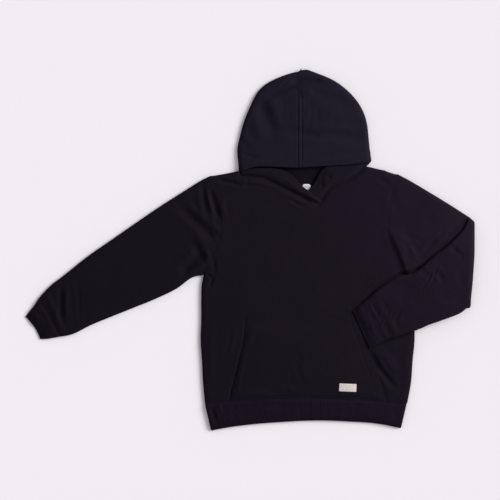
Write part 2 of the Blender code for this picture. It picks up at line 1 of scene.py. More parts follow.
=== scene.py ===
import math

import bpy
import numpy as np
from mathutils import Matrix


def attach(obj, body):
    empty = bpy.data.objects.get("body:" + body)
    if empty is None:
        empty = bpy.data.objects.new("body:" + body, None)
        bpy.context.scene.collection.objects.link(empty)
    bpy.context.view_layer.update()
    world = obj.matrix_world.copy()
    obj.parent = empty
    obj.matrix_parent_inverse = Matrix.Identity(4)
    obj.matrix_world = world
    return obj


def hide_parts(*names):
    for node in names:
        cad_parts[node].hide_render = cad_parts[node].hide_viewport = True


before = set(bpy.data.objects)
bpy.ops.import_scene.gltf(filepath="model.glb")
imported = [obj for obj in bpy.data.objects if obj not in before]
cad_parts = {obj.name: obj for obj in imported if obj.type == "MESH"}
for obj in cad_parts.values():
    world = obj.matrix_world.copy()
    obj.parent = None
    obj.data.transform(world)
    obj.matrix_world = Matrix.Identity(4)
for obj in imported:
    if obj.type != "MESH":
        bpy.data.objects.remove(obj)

# %% [markdown]
# # A toddler's hoodie, laid flat
# A pullover hoodie in brushed cotton fleece lies on its back on a table. Its left sleeve, as seen
# here, runs straight out, and its right one is folded back at the elbow, so that the forearm and
# its cuff lie over the front. The hood lies upwards from the neck with its open edge across it.
#
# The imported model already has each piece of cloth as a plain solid. This file dresses them: each
# one gets a fine shell with creases, hems and ribs, then knit, thread and light. Everything is
# worked out in millimetres in the row's own frame, X across the chest, Y from hem to hood and Z up,
# and turned to metres only when a mesh is made.

MM = 0.001
for stray in ("Cube", "Light", "Camera"):
    if stray in bpy.data.objects:
        bpy.data.objects.remove(bpy.data.objects[stray])
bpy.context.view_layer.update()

# %% [markdown]
# ## Outlines
# A pattern maker thinks in outlines, so the pieces are short tables of real places in the laid
# garment. They could be drawn as curves, but a table is easy to check with a ruler. They are the
# same as the solids' own outlines, so that each shell fits over its solid.

# %% Body: y, left edge x, right edge x. Above the armpit the edges are the armholes.
BODY = (
    (-246, -72, 251),
    (-214, -75, 257),
    (-176, -77, 260),
    (-144, -79, 263),
    (-112, -78, 262),
    (-80, -78, 256),
    (-54, -77, 251),
    (-40, -74, 248),
    (-19, -66, 239),
    (0, -56, 229),
    (24, -48, 221),
    (56, -47, 220),
    (88, -53, 226),
    (117, -63, 236),
)
LEFT, RIGHT = 1, 2  # the columns of both edges, here and in the tables of the hood and the pocket
ARMPIT_Y = -40.0
SHOULDER_Y = {LEFT: 118.5, RIGHT: 121.0}  # top of each armhole
print("chest, mm:", max(right - left for _, left, right in BODY))

# %% Top edges of the front and the back: x, y, and 1 on a shoulder or 0 along the neck
FRONT_TOP = (
    (-52, 120, 1),
    (-42, 122, 1),
    (-31, 124, 1),
    (-22, 126, 1),
    (-15, 118, 0),
    (3, 117, 0),
    (19, 115, 0),
    (40, 106, 0),
    (52, 100, 0),
    (64, 94, 0),
    (80, 86, 0),
    (96, 79, 0),
    (108, 75, 0),
    (114, 79, 0),
    (118, 87, 0),
    (123, 95, 0),
    (130, 101, 0),
    (140, 106, 0),
    (152, 111, 0),
    (163, 117, 0),
    (175, 126, 0),
    (184, 135, 0),
    (194, 132.5, 1),
    (208, 130, 1),
    (224, 127, 1),
)
BACK_TOP = (
    (-42, 122, 1),
    (-22, 126, 1),
    (-17, 124, 0),
    (-4, 117, 0),
    (14, 112, 0),
    (34, 109, 0),
    (56, 107, 0),
    (82, 106, 0),
    (106, 107, 0),
    (130, 109, 0),
    (150, 112, 0),
    (168, 118, 0),
    (178, 127, 0),
    (184, 135, 0),
    (194, 132.5, 1),
    (216, 127.5, 1),
)

# %% Waistband: its seam to the body and its hem, x and y
BAND_SEAM = (
    (-72, -246),
    (-32, -242),
    (16, -239),
    (90, -237),
    (160, -239),
    (208, -242),
    (250.4, -245),
)
HEM = (
    (-62, -289),
    (-32, -283.5),
    (0, -279.2),
    (48, -275.3),
    (112, -272.6),
    (160, -274.3),
    (208, -278.2),
    (241, -285),
)
print("shoulder to hem, mm:", max(SHOULDER_Y.values()) - min(y for _, y in HEM))

# %% Sleeves and cuffs: upper edge x and y, lower edge x and y, from the armhole to the wrist
STRAIGHT_SLEEVE = (
    (-63, 118, -74, -39),
    (-80, 109.5, -93, -43.5),
    (-106, 93.3, -118, -61.8),
    (-144, 69.4, -152, -78.5),
    (-182, 43.5, -186, -92.3),
    (-221, 16.4, -221, -106.3),
    (-259, -10, -253, -119.5),
    (-298, -41, -278, -132.3),
    (-318, -56.3, -291, -136.5),
    (-337, -76.3, -303, -138.3),
)
STRAIGHT_CUFF = (
    (-337, -76.3, -303, -138.3),
    (-345.5, -89.5, -317, -140.8),
    (-352.5, -98, -327, -142.3),
    (-359.3, -106.6, -335.3, -142.8),
)
UPPER_ARM = (
    (236, 121, 248, -40),
    (256, 110.5, 269, -50),
    (288, 91.5, 298, -64),
    (320, 72, 324, -78),
    (350.4, 52.5, 345.5, -93),
)
FOREARM = (
    (350.4, 52.5, 345.5, -93),
    (341, 34, 336, -100.5),
    (327, 18, 324, -105.6),
    (313, 5, 311, -110.3),
    (298, -6, 298, -115),
    (284, -18, 285, -119.5),
    (272, -29, 274, -124.5),
    (258, -38, 262, -129),
    (240, -42, 250, -133),
    (222, -51, 239, -136.5),
    (205, -63, 231, -139),
    (189, -76.5, 224.5, -140.5),
)
FOLDED_CUFF = (
    (189, -76.5, 224.5, -140.5),
    (180, -84, 213, -145.5),
    (171, -91.5, 201, -151.5),
    (164, -97.5, 191, -157),
)
for cuff_table in (STRAIGHT_CUFF, FOLDED_CUFF):
    print("wrist, mm:", round(math.dist(cuff_table[0][:2], cuff_table[0][2:]), 1))

# %% Hood: the outline's y, left x, right x; the open edge's x, y
HOOD = (
    (288.2, 83.5, 92),
    (284.8, 72.8, 101),
    (281.8, 62.8, 109),
    (277.8, 51.2, 119.6),
    (271.8, 37.2, 132.3),
    (264.8, 25.1, 143.5),
    (255.8, 15.1, 154.7),
    (244.8, 7.5, 165.6),
    (234.8, 2.7, 173.3),
    (221, -3.4, 181),
    (202, -10.7, 186.9),
    (182, -16, 189.3),
    (163, -20, 191.2),
    (150, -20, 193),
    (140, -19, 194.4),
    (125, -18, 195),
)
RIM = (
    (-18, 125),
    (-9, 127.6),
    (0, 130.4),
    (10, 132.6),
    (32, 132.8),
    (56, 131.6),
    (76, 131),
    (100, 132.6),
    (128, 134.2),
    (154, 135.6),
    (176, 138),
    (195, 141.5),
)
print("hood, mm wide:", max(right - left for _, left, right in HOOD))

# %% Folds of each half of the hood: y at the outline, and x where the same thread meets the neck seam
LEFT_HOOD_FOLD = (
    (287, 79.6),
    (283, 69),
    (277, 56),
    (270, 45),
    (258, 34),
    (240, 24),
    (220, 14),
    (200, 5),
    (180, -4),
    (162, -8.5),
    (144, -10.5),
    (126.5, -13),
)
RIGHT_HOOD_FOLD = (
    (287, 79.6),
    (288.1, 88),
    (284, 97),
    (278, 107),
    (270, 118),
    (258, 130),
    (240, 140),
    (222, 150),
    (204, 157.5),
    (186, 163),
    (170, 166.5),
    (155, 169.5),
    (142.5, 172),
)

# %% Front corners of the hood, which cross at the neck: seam x, y, free edge x, y
LEFT_FRONT = (
    (-13, 118.1, -13, 128),
    (3, 117.1, 8, 131),
    (19, 115.1, 33, 131),
    (30, 110.9, 46, 129.5),
    (40, 106.1, 57, 125.5),
    (52, 100.1, 67.5, 119),
    (64, 94.1, 76, 110),
    (74, 89.1, 82, 103),
    (82, 85.2, 88, 98.5),
    (90, 81.7, 95.5, 93.5),
    (100, 77.5, 103.5, 87),
    (109, 75.6, 111.5, 80.5),
    (115, 73.5, 116, 77),
)
RIGHT_FRONT = (
    (183.9, 135.1, 179, 139),
    (175, 126.1, 158, 136),
    (163, 117.1, 134, 134.5),
    (152, 111.1, 117.5, 131.5),
    (140, 106.1, 110, 121),
    (130, 101.1, 104.5, 110),
    (123, 95.1, 98, 101),
    (118, 87.1, 92.5, 95),
    (113.6, 79.1, 89, 88),
)

# %% Kangaroo pocket: y, left x, right x. Labels: centre x, y, width, length, turn in degrees
POCKET = (
    (-107, -5, 173),
    (-128, -8, 179),
    (-152, -12, 188),
    (-176, -18, 196),
    (-200, -24, 206),
    (-221, -29, 213),
    (-236, -32, 217),
)
HEM_LABEL = (156.0, -219.5, 27.5, 12.5, -2.5)
NECK_LABEL = (90.2, 99.6, 13.4, 11.4, 0.0)
print("pocket, mm wide and long:", POCKET[-1][RIGHT] - POCKET[-1][LEFT], POCKET[0][0] - POCKET[-1][0])

# %% [markdown]
# ## Heights of the layers
# Fleece is soft, so a flat sleeve is a low cushion of two layers with air between them. These are
# the heights that the layers reach above the table. Each one clears the layer that it lies on.

# %% Cloth and heights, in millimetres
FLEECE = 1.3
RIB = 1.4
LABEL = 0.5
SEAM_GAP = 0.03
LAP = 4.0  # seam allowance that goes on under the next piece
LAP_GAP = 0.15  # between the allowance and the inside of the cloth that it belongs to

EDGE = 4.0  # the middle of a folded or sewn outer edge
BODY_TOP = 8.2
LOWEST_TOP = 3.6  # the bottom of the deepest crease
HIGHEST_UNDER = 1.3  # the most that cloth is pushed up off the table
SEAM_LEVEL = 5.0  # where the front and the hood's corners meet
UNDER_POCKET = 5.8  # the front's level there
BAND_TOP = 7.6
POCKET_TOP = 9.6
POCKET_PUFF = 1.3
PRESSED_X, PRESSED_RUN = 190.0, 45.0  # the folded cuff presses the pocket flat, from this run before x
FOLD_CENTRE = 8.1  # the elbow's fold turns about a line at this height
ARM_THICK = 7.4
CLIMB_START_X, CLIMB_RUN, CLIMB = 236.0, 42.0, 0.35  # where the forearm climbs onto the pocket
CORNER_LOW = 34.0  # it lies low again so near to the cuff's corner
CROWN_TOP = 8.6
RIM_TOP = 11.6
RIM_SLOPE = 46.0
RIM_SAG_X, RIM_SAG_WIDTH, RIM_SAG = 96.0, 30.0, 0.8

# Roundings of the edges, seen from above
HEM_ROUND = 1.5
SIDE_ROUND = 9.0
UNDER_ROUND = 4.0
ARM_ROUND = 10.0
ROUND_STEPS = 8  # points round each of them

# Ribs, and the rows of stitches
BAND_RIBS = 112
CUFF_RIBS = 25
RIB_RISE = 0.8
TWIN_NEEDLE = 6.6  # between the two rows beside the hood's seam
FIRST_ROW = 4.0  # from the waistband's seam up to the first row
ROW_GAP = 4.8  # from there up to the second
HOOD_HEM = 19.0
HOOD_SEAM_X = 79.6
FLAT_SEAM_Y, FLAT_SEAM_RUN = 262.0, 26.0  # the seam's ridge fades over this run, up to y
print("walls, mm: fleece", FLEECE, "rib", RIB, "label", LABEL)

# %% [markdown]
# ## Creases
# The creases could be left to a cloth simulation, but it would put them somewhere else each time a
# size changes. Each large one is listed instead: a line with a bow, a width and a depth.
# The cloth goes down along the line and stands up a little on both sides of it, as real creases do.

# %% Creases of the body and upper sleeves: x0, y0, x1, y1, bow, width, depth (less than 0 is a ridge)
BODY_CREASES = (
    # beside the straight sleeve's armhole
    (-77, 106, -68, 59, 0, 8, 2),
    (-63, 95, -50, 47, -1, 8, 3),
    (-69, 90, -60, 57, 0, 6, -1.1),
    (-45, 83, -41, 53, 0, 8, -1.1),
    (-85, 89, -74, 52, 0, 8, -0.8),
    (-113, 69, -54, 16, 0, 14, 3.4),
    (-88, 24, -69, 7, 0, 13, -1.7),
    (-89, 9, -73, -18, 0, 11, 2.6),
    (-76, -6, -111, -36, 0, 14, 4.6),
    (-69, 5, -65, -30, 0, 7, -1.1),
    (-58, -10, -56, -38, 0, 6, 1.4),
    (-70, -40, -61, -43, 0, 5, 2),
    (-58, -43, -65, -59, 0, 5, 2),
    (-108, 1, -94, -23, 0, 14, -0.6),
    # along the straight sleeve
    (-302, -58, -300, -114, 1, 8, 2.6),
    (-292, -53, -292, -110, 0, 8, -1.3),
    (-284, -45, -280, -99, 0, 7, -0.8),
    (-273, -61, -273, -109, 0, 5, 0.8),
    (-325, -67, -300, -129, 0, 8, -1.3),
    (-115, 22, -195, -19, -4, 30, 0.7),
    (-189, 6, -234, -64, 6, 26, 0.7),
    (-161, 71, -222, 23, -5, 18, 0.5),
    (-173, -67, -198, -80, 2, 10, 0.5),
    # beside the folded sleeve's armhole
    (226, -6, 243, -40, -2, 14, 0.5),
    (256, 5, 266, -19, 0, 11, -1.2),
    (202, 27, 215, 8, 1, 12, 0.4),
    (226, 95, 236, 60, 2, 13, 0.6),
    # upper part of the folded sleeve
    (245, 25, 273, 16, 1, 7, 0.9),
    (277, -2, 298, 18, 1, 6, 1.1),
    (290, 11, 315, 29, -1, 6, 0.7),
    (314, 22, 330, 38, 0, 7, 0.6),
    (269, 53, 320, 21, -3, 20, 0.5),
    # pressed down along the folded forearm and its cuff
    (184, -79, 246, -39, -4, 9, 4.4),
    (237, -41, 273, -27, 3, 7, 5.2),
    (267, -33, 326, 19, 0, 10, 1.8),
    (198, -151, 261, -139, 0, 10, 0.8),
    (157, -92, 160, -104, 0, 9, -0.5),
    # shoulders and chest
    (-54, 113, -16, 104, 0, 6, 2.6),
    (-16, 104, 26, 101, 0, 6, 1.6),
    (-3, 122, -2, 96, 0, 5, 0.5),
    (-11, 118, -11, 96, 0, 5, -0.4),
    (204, 116, 226, 100, 0, 8, 0.8),
    (58, 82, 80, 73, 0, 5, 0.6),
    (74, 69, 91, 75, 0, 5, 0.9),
    (63, 74, 79, 66, 0, 5, -0.6),
    (-29, 58, 61, 22, 12, 60, 0.4),
    (122, 29, 195, 58, 10, 50, 0.5),
    (-38, -70, 32, -29, 8, 46, 0.4),
    (64, -19, 144, -58, -8, 60, 0.4),
    # beside and under the pocket
    (192, -165, 232, -220, 2.5, 9, 2.8),
    (201, -157, 233, -192, 0, 15, -1.4),
    (194, -206, 205, -236, 0, 9, -0.9),
    (-23, -128, -31, -170, 1, 6, -0.7),
    (-61, -106, -61, -227, 0, 10, -0.4),
    (-72, -128, -69, -214, 0, 9, 0.4),
    (239, -128, 242, -214, 2, 14, 0.4),
)

# %% Folds that lean over, by x0, y0, x1, y1, bow, steep width, gentle width and height
BODY_LEANING = ((223, 34, 256, -56, -4, 6.0, 15, 3.7),)

# %% Creases of the forearm, the hood and the pocket
FOREARM_CREASES = (
    (318, 8, 337, -10, 0, 7, 0.9),
    (271, -31, 290, -44, 1, 8, 0.8),
    (296, -33, 308, -52, -1, 8, 0.9),
    (253, -53, 240, -85, 2, 14, 0.4),
    (335, -30, 342, -65, 2, 12, 0.5),
    (302, -73, 321, -83, -1, 14, 0.4),
    (202, -82, 218, -108, 0, 9, -0.7),
    (223, -110, 232, -135, 0, 9, -0.9),
)
HOOD_CREASES = (
    (66, 270, 116, 271, 1, 9, 3.4),
    (28, 247, 82, 268, -1, 10, 2.6),
    (80, 251, 99, 253, 0, 16, -1.8),
    (12, 238, 39, 184, 0, 18, 2.8),
    (34, 242, 46, 217, 0, 16, -1.6),
    (8, 222, 17, 244, 0, 9, -0.6),
    (48, 187, 186, 177, -2, 14, 2.0),
    (80, 184, 112, 182, 0, 9, 1.4),
    (112, 218, 186, 218, 0, 17, -1.4),
    (104, 247, 150, 240, 0, 13, 1.3),
    (161, 193, 164, 180, 0, 8, -0.4),
    (-20, 177, 0, 163, 0, 9, 0.8),
    (-11, 151, 13, 149, 0, 6, 1.4),
    (6, 204, 16, 178, 0, 13, -1.0),
    (128, 160, 179, 157, 0, 22, -0.6),
)
POCKET_CREASES = (
    (0, -228, 34, -231, 0, 9, -0.8),
    (61, -224, 80, -228, 0, 8, -0.6),
    (195, -233, 210, -236, 0, 7, -0.8),
    (75, -180, 83, -215, 0, 8, 0.6),
    (84, -161, 88, -180, 0, 8, -0.5),
    (-8, -110, -32, -232, 3, 13, 1.0),
    (8, -112, 0, -163, 1, 7, -0.5),
    (-16, -198, -18, -230, 0, 6, -0.6),
    (159.4, -99.6, 186.4, -159, -1, 10, -0.6),
    (32, -128, 128, -150, 8, 50, 0.4),
    (19, -170, 80, -195, -6, 40, 0.4),
)
# What lies on the table is pushed up a little in a few places, also by a line, a width and a rise
UNDER_CREASES = (
    (-40, 70, 30, 20, 8, 16, 1.2),
    (120, 90, 190, 30, -10, 18, 1.3),
    (-60, -60, 10, -90, 6, 14, 1.0),
    (90, -20, 100, -110, 12, 20, 1.3),
    (180, -100, 230, -60, -6, 15, 1.1),
    (0, -150, 80, -190, 8, 18, 1.2),
    (150, -160, 210, -210, 5, 14, 1.0),
    (-56, -170, -50, -220, 0, 10, 0.8),
    (-120, 60, -190, 0, -8, 16, 1.1),
    (-110, -20, -170, -60, 5, 13, 0.9),
    (-230, -20, -270, -90, 6, 15, 1.1),
    (-290, -70, -300, -120, 3, 10, 0.8),
    (270, 70, 320, 10, 6, 14, 1.1),
    (262, 10, 290, -40, -4, 12, 0.9),
    (20, 150, 70, 210, -8, 16, 1.0),
    (110, 240, 140, 170, 8, 18, 1.1),
)
print("creases:", *(len(table) for table in (BODY_CREASES, FOREARM_CREASES, HOOD_CREASES, POCKET_CREASES)))

# %% [markdown]
# ## Reading the tables
# Between the rows of a table the cloth is smooth, so a cubic curve joins them. Blender's own curves
# would do it too, but then a mesh would have to be made just to ask for one height.

# %% Curves through tables
def smooth_step(share):
    """0 up to 0 and 1 from 1, with an S-curve between: 3 t squared less 2 t cubed."""
    share = np.clip(share, 0.0, 1.0)
    return share * share * (3.0 - 2.0 * share)


def read(table, column, at):
    """A column's value at places along the first column.

    Between two rows runs a cubic, which takes its slope at each row from the row's neighbours.
    """
    rows = np.array(sorted(map(tuple, table)), float)
    place, value = rows[:, 0], rows[:, column]
    at = np.clip(at, place[0], place[-1])
    slope = np.gradient(value, place)
    low = np.clip(np.searchsorted(place, at, side="right") - 1, 0, len(place) - 2)
    step = place[low + 1] - place[low]
    t = (at - place[low]) / step
    return (
        (2 * t**3 - 3 * t**2 + 1) * value[low]
        + (t**3 - 2 * t**2 + t) * step * slope[low]
        + (3 * t**2 - 2 * t**3) * value[low + 1]
        + (t**3 - t**2) * step * slope[low + 1]
    )


def along(table, count):
    """Every column at count even steps through the table, from its first row to its last."""
    rows = np.array(table, float)
    numbered = np.column_stack([np.arange(len(rows)), rows])
    at = np.linspace(0, len(rows) - 1, count)
    return np.stack([read(numbered, column + 1, at) for column in range(rows.shape[1])], 1)


def edges_at(table, y):
    """Left and right edge at each y."""
    return read(table, LEFT, y), read(table, RIGHT, y)


def band_seam(x):
    """The waistband's seam: y at each x, on the table's curve."""
    return read(BAND_SEAM, 1, x)


def rim(x):
    """The hood's open edge: y at each x, on the table's curve."""
    return read(RIM, 1, x)


def steps(length, fine, coarse, reach):
    """Shares from 0 to 1 along a length: fine steps within reach of both ends, coarse ones between."""
    ends = np.arange(0, reach, fine)
    middle = np.linspace(reach, length - reach, max(2, round((length - 2 * reach) / coarse) + 1))
    return np.concatenate([ends, middle, length - ends[::-1]]) / length


print("steps over 300 mm:", len(steps(300, 1.0, 2.2, 12)))

# %% [markdown]
# ## The lie of the cloth
# A height is worked out for every place at once: a level, less the creases, less the grooves at the
# seams, plus gentle rolls that no flat cloth is without.

# %% Creases, rolls, puckers and grooves
def beside(x0, y0, x1, y1, bow, x, y):
    """How far each place lies to the right of a bowed line, and 1 along it, fading to 0 at both ends.

    The bow bends the line into a parabola.
    """
    long = math.hypot(x1 - x0, y1 - y0)
    way_x, way_y = (x1 - x0) / long, (y1 - y0) / long
    share = ((x - x0) * way_x + (y - y0) * way_y) / long
    off = (x - x0) * way_y - (y - y0) * way_x - 4 * bow * share * (1 - share)
    return off, smooth_step((0.62 - np.abs(share - 0.5)) / 0.4)


def creases(table, x, y):
    """Depth of all the creases: across each one a bell curve, with a shallow bank on both sides."""
    depth = np.zeros(np.broadcast(x, y).shape)
    for *line, width, deep in table:
        off, ends = beside(*line, x, y)
        side = np.abs(off) / (0.5 * width)
        across = np.exp(-(side**2)) - 0.28 * np.exp(-(((side - 1.8) / 0.7) ** 2))
        depth = depth + deep * across * ends
    return depth


def leaning(table, x, y):
    """Height of folds that lean over: a bell curve, steep on its right side and gentle on its left."""
    height = np.zeros(np.broadcast(x, y).shape)
    for *line, steep, gentle, high in table:
        off, ends = beside(*line, x, y)
        height = height + high * np.exp(-((off / np.where(off > 0, steep, gentle)) ** 2)) * ends
    return height


def rolls(x, y, size, seed, waves=20):
    """Gentle unevenness of about 1 either way: the sum of waves in random directions, as long as size."""
    rng = np.random.default_rng(seed)
    total = np.zeros(np.broadcast(x, y).shape)
    for turn, length, start in rng.uniform((0, 0.7, 0), (np.pi, 1.7, 2 * np.pi), (waves, 3)):
        total += np.sin(2 * np.pi * (x * math.cos(turn) + y * math.sin(turn)) / (size * length) + start)
    return total * math.sqrt(2.0 / waves)


def puckers(table, x, y):
    """Height of patches of small creases: drawn-out rolls that fade from the patch's middle."""
    height = np.zeros(np.broadcast(x, y).shape)
    for number, (x0, y0, long, wide, degrees, size, high) in enumerate(table):
        turn = math.radians(degrees)
        u = (x - x0) * math.cos(turn) + (y - y0) * math.sin(turn)
        v = (y - y0) * math.cos(turn) - (x - x0) * math.sin(turn)
        patch = np.exp(-((u / long) ** 2) - (v / wide) ** 2)
        height = height + high * patch * rolls(0.3 * u, v, size, 40 + number)
    return height


def groove(distance, width):
    """1 on a line and 0 away from it, as a bell curve of this width."""
    return np.exp(-((distance / width) ** 2))


# Patches of puckers: x, y, half length, half width, turn of the creases in degrees, size, height
BODY_PUCKERS = (
    (-58, 40, 34, 16, -70, 10, 0.22),
    (-74, -24, 26, 18, 35, 10, 0.25),
    (-292, -84, 18, 34, 80, 9, 0.25),
    (-181, -74, 14, 10, 15, 6, 0.30),
    (-56, -250, 10, 12, 20, 6, 0.30),
    (254, 0, 30, 18, -60, 9, 0.22),
    (296, 14, 40, 16, 42, 9, 0.35),
    (290, 60, 44, 26, 40, 14, 0.18),
    (78, 74, 26, 10, -25, 6, 0.25),
    (-20, 106, 44, 8, -8, 7, 0.25),
    (214, -190, 26, 26, -45, 9, 0.30),
    (90, -225, 150, 9, 0, 9, 0.15),
)
FOREARM_PUCKERS = (
    (291, -42, 24, 15, 60, 6, 0.42),
    (320, 2, 26, 20, 60, 10, 0.22),
    (224, -104, 16, 36, 60, 9, 0.25),
    (206, -110, 14, 34, 62, 6, 0.22),
)
HOOD_PUCKERS = (
    (48, 262, 22, 12, 30, 6, 0.7),
    (20, 140, 34, 12, 10, 9, 0.18),
    (150, 146, 40, 14, -8, 10, 0.15),
    (92, 215, 16, 70, 90, 9, 0.14),
)

# %% [markdown]
# ### Height of each layer
# The folded forearm has to clear the front, and further on the pocket, so its underside climbs. The
# hood is low over its crown and high at its open edge, which lies on the two front corners.

# %% Heights
def at_armhole(x, y):
    """How far each place lies from the nearer armhole seam, or far off where there is none."""
    left, right = edges_at(BODY, y)
    near = np.minimum(np.abs(x - left), np.abs(x - right))
    past = np.maximum(ARMPIT_Y - y, 0) + np.maximum(y - SHOULDER_Y[RIGHT], 0)
    return near + 3.0 * past


def at_wrist(cuff_table, x, y):
    """How far each place lies from the line of a cuff's seam, or far off beyond the seam's ends."""
    x0, y0, x1, y1 = cuff_table[0]
    long = math.hypot(x1 - x0, y1 - y0)
    share = ((x - x0) * (x1 - x0) + (y - y0) * (y1 - y0)) / long**2
    off = np.abs((x - x0) * (y1 - y0) - (y - y0) * (x1 - x0)) / long
    return off + long * np.maximum(np.abs(share - 0.5) - 0.5, 0)


def wrist_dip(cuff_table, x, y):
    """How far a sleeve is drawn down at its cuff, and how it swells just above the seam."""
    off = at_wrist(cuff_table, x, y)
    return 0.9 * groove(off, 4.0) - 0.4 * groove(off - 10.0, 5.0)


def body_height(x, y):
    """Top of the front and of both upper sleeves."""
    seam = at_armhole(x, y)
    gathers = 1.0 + 0.5 * rolls(x, y, 16, 3)
    height = BODY_TOP - creases(BODY_CREASES, x, y) + puckers(BODY_PUCKERS, x, y)
    height += leaning(BODY_LEANING, x, y)
    height += 0.22 * rolls(x, y, 90, 1) + 0.06 * rolls(x, y, 24, 2)
    height += 0.12 * groove(seam - 6.0, 4.0) - 0.25 * gathers * groove(seam, 2.8)
    return np.maximum(height - wrist_dip(STRAIGHT_CUFF, x, y), LOWEST_TOP)


def under_height(x, y):
    """Underside of everything that lies on the table: flat, with a few low tunnels."""
    return np.clip(creases(UNDER_CREASES, x, y), 0.0, HIGHEST_UNDER)


def band_dip(x, y):
    """How far cloth is drawn down next to the waistband's seam and under its two rows of stitches."""
    up = y - band_seam(x)
    rows = groove(up - FIRST_ROW, 0.9) + groove(up - FIRST_ROW - ROW_GAP, 0.9)
    uneven = 1.0 + 0.4 * rolls(x, 0 * y, 60, 4)
    return 1.1 * uneven * groove(up, 3.6) + 0.3 * rows - 0.45 * uneven * groove(up - 14.0, 6.0)


def pocket_height(x, y):
    """Top of the pocket: it stands off the front in its middle and is drawn down where it is sewn."""
    low, high = POCKET[-1][0], POCKET[0][0]
    left, right = edges_at(POCKET, y)
    down = smooth_step((high - y) / 30.0)
    up = np.sin(np.pi * np.clip((y - low) / (high - low), 0, 1))
    across = np.sin(np.pi * np.clip((x - left) / (right - left), 0, 1))
    free = smooth_step((PRESSED_X - x) / PRESSED_RUN)
    start = body_height(x, y) + 0.3
    height = POCKET_TOP - 0.7 + (0.7 + POCKET_PUFF * up * np.sqrt(across)) * free
    height -= creases(POCKET_CREASES, x, y)
    height += 0.18 * rolls(x, y, 60, 5) + 0.06 * rolls(x, y, 20, 6)
    height -= 1.9 * groove(x - left, 5.0) + 0.8 * groove(right - x, 9.0)
    height = start + (height - start) * down
    height = np.maximum(height - band_dip(x, y), UNDER_POCKET + 1.5)
    return height + (BAND_TOP - 0.2 - height) * groove(y - band_seam(x), 4.5)


def front_height(x, y):
    """Top of the front, which lies level under the pocket."""
    left, right = edges_at(POCKET, y)
    inside = 0.45 * smooth_step((right - x + 6.0) / 6.0) + 0.55 * smooth_step((right - x) / 5.0)
    inside = inside * smooth_step((x - left + 2.5) / 4.5) * smooth_step((POCKET[0][0] - y) / 5.0)
    open_height = body_height(x, y) - band_dip(x, y)
    return open_height * (1 - inside) + UNDER_POCKET * inside


def forearm_under(x, y):
    """Underside of the folded forearm, which climbs onto the pocket, low again at the cuff's corner."""
    corner_x, corner_y = FOLDED_CUFF[-1][:2]
    away = smooth_step(np.hypot(x - corner_x, y - corner_y) / CORNER_LOW)
    climb = CLIMB * smooth_step((CLIMB_START_X - x) / CLIMB_RUN) * away
    return 2 * FOLD_CENTRE - ARM_THICK + climb


def forearm_height(x, y):
    """Top of the folded forearm."""
    height = forearm_under(x, y) + ARM_THICK - creases(FOREARM_CREASES, x, y)
    height += puckers(FOREARM_PUCKERS, x, y) + 0.22 * rolls(x, y, 50, 7) + 0.06 * rolls(x, y, 18, 8)
    return height - 0.6 * wrist_dip(FOLDED_CUFF, x, y)


def hood_height(x, y):
    """Top of the hood: its seam is a ridge 12 mm wide with two rows of stitches pulled into it."""
    up = y - rim(x)
    rise = smooth_step(1.0 - up / RIM_SLOPE)
    off = np.abs(x - HOOD_SEAM_X)
    seam = 0.35 * smooth_step((8.2 - off) / 4.0) - 1.0 * groove(off - 0.5 * TWIN_NEEDLE, 1.3)
    seam *= 0.15 + 0.85 * smooth_step((FLAT_SEAM_Y - y) / FLAT_SEAM_RUN)
    height = CROWN_TOP + (RIM_TOP - CROWN_TOP) * rise
    height += seam - RIM_SAG * groove(x - RIM_SAG_X, RIM_SAG_WIDTH) * rise
    height += 0.5 * groove(up - 7.0, 7.0) - 0.15 * groove(up - HOOD_HEM, 1.4)
    height += 0.25 * rolls(x, y, 80, 9) + 0.06 * rolls(x, y, 26, 10) + puckers(HOOD_PUCKERS, x, y)
    return height - creases(HOOD_CREASES, x, y)


probe = np.meshgrid(np.linspace(-60, 220, 57), np.linspace(-220, 100, 65))
for layer in (body_height, under_height, pocket_height, forearm_height):
    print(layer.__name__, layer(*probe).min().round(1), layer(*probe).max().round(1))

# %% [markdown]
# ## From a grid to a piece of cloth
# Every piece is a grid of points, rows by columns, on the cloth's outside. A flat panel is one
# sheet, and a sleeve is a tube whose last column joins its first. Solidify then grows the wall
# inwards. The UV map holds the distance along and across the cloth in metres, so that the knit
# follows each piece as it was cut.

# %% Meshes
SHELLS = {}
FOLD_STEPS = 7  # points round a hem's half circle


def unit(vectors):
    """Vectors divided by their own lengths."""
    return vectors / np.maximum(np.linalg.norm(vectors, axis=-1, keepdims=True), 1e-9)


def outward(grid, facing):
    """Unit normals of a grid: its two slopes crossed, then turned to face up, down, or out of a tube."""
    tube = facing == "out"
    if tube:
        across = np.roll(grid, -1, 1) - np.roll(grid, 1, 1)
    else:
        across = np.gradient(grid, axis=1)
    normal = unit(np.cross(across, np.gradient(grid, axis=0)))
    away = grid - grid.mean(1, keepdims=True) if tube else np.array([0.0, 0.0, 1.0])
    sign = np.sign((normal * away).sum())
    return normal * (-sign if facing == "down" else sign)


def rolled(grid, facing, radius, back, way=None):
    """The grid with a hem past its last row: round half a circle to the hidden side, then back under it.

    The hem follows the last rows, as many as back says, or runs back against a given way for that far.
    """
    out = unit(grid[-1] - grid[-2]) if way is None else np.array(way, float)
    normal = outward(grid, facing)
    turn = np.linspace(0, np.pi, FOLD_STEPS + 1)[1:, None, None]
    half = grid[-1] + radius * (np.sin(turn) * out - (1 - np.cos(turn)) * normal[-1])
    if way is None:
        under = (grid - 2 * radius * normal)[-2 : -back - 2 : -1]
    else:
        under = half[-1] - np.linspace(0, back, 5)[1:, None, None] * out
    return np.concatenate([grid, half, under])


def lapped(grid, facing, wall, further=0.0, reach=LAP):
    """The grid with a seam allowance before its first row: a step inwards, then under the next piece."""
    below = grid[0] - (wall + LAP_GAP + further) * outward(grid, facing)[0]
    back = unit(grid[0] - grid[1])
    return np.concatenate([[below + reach * back, below + 0.01 * back], grid])


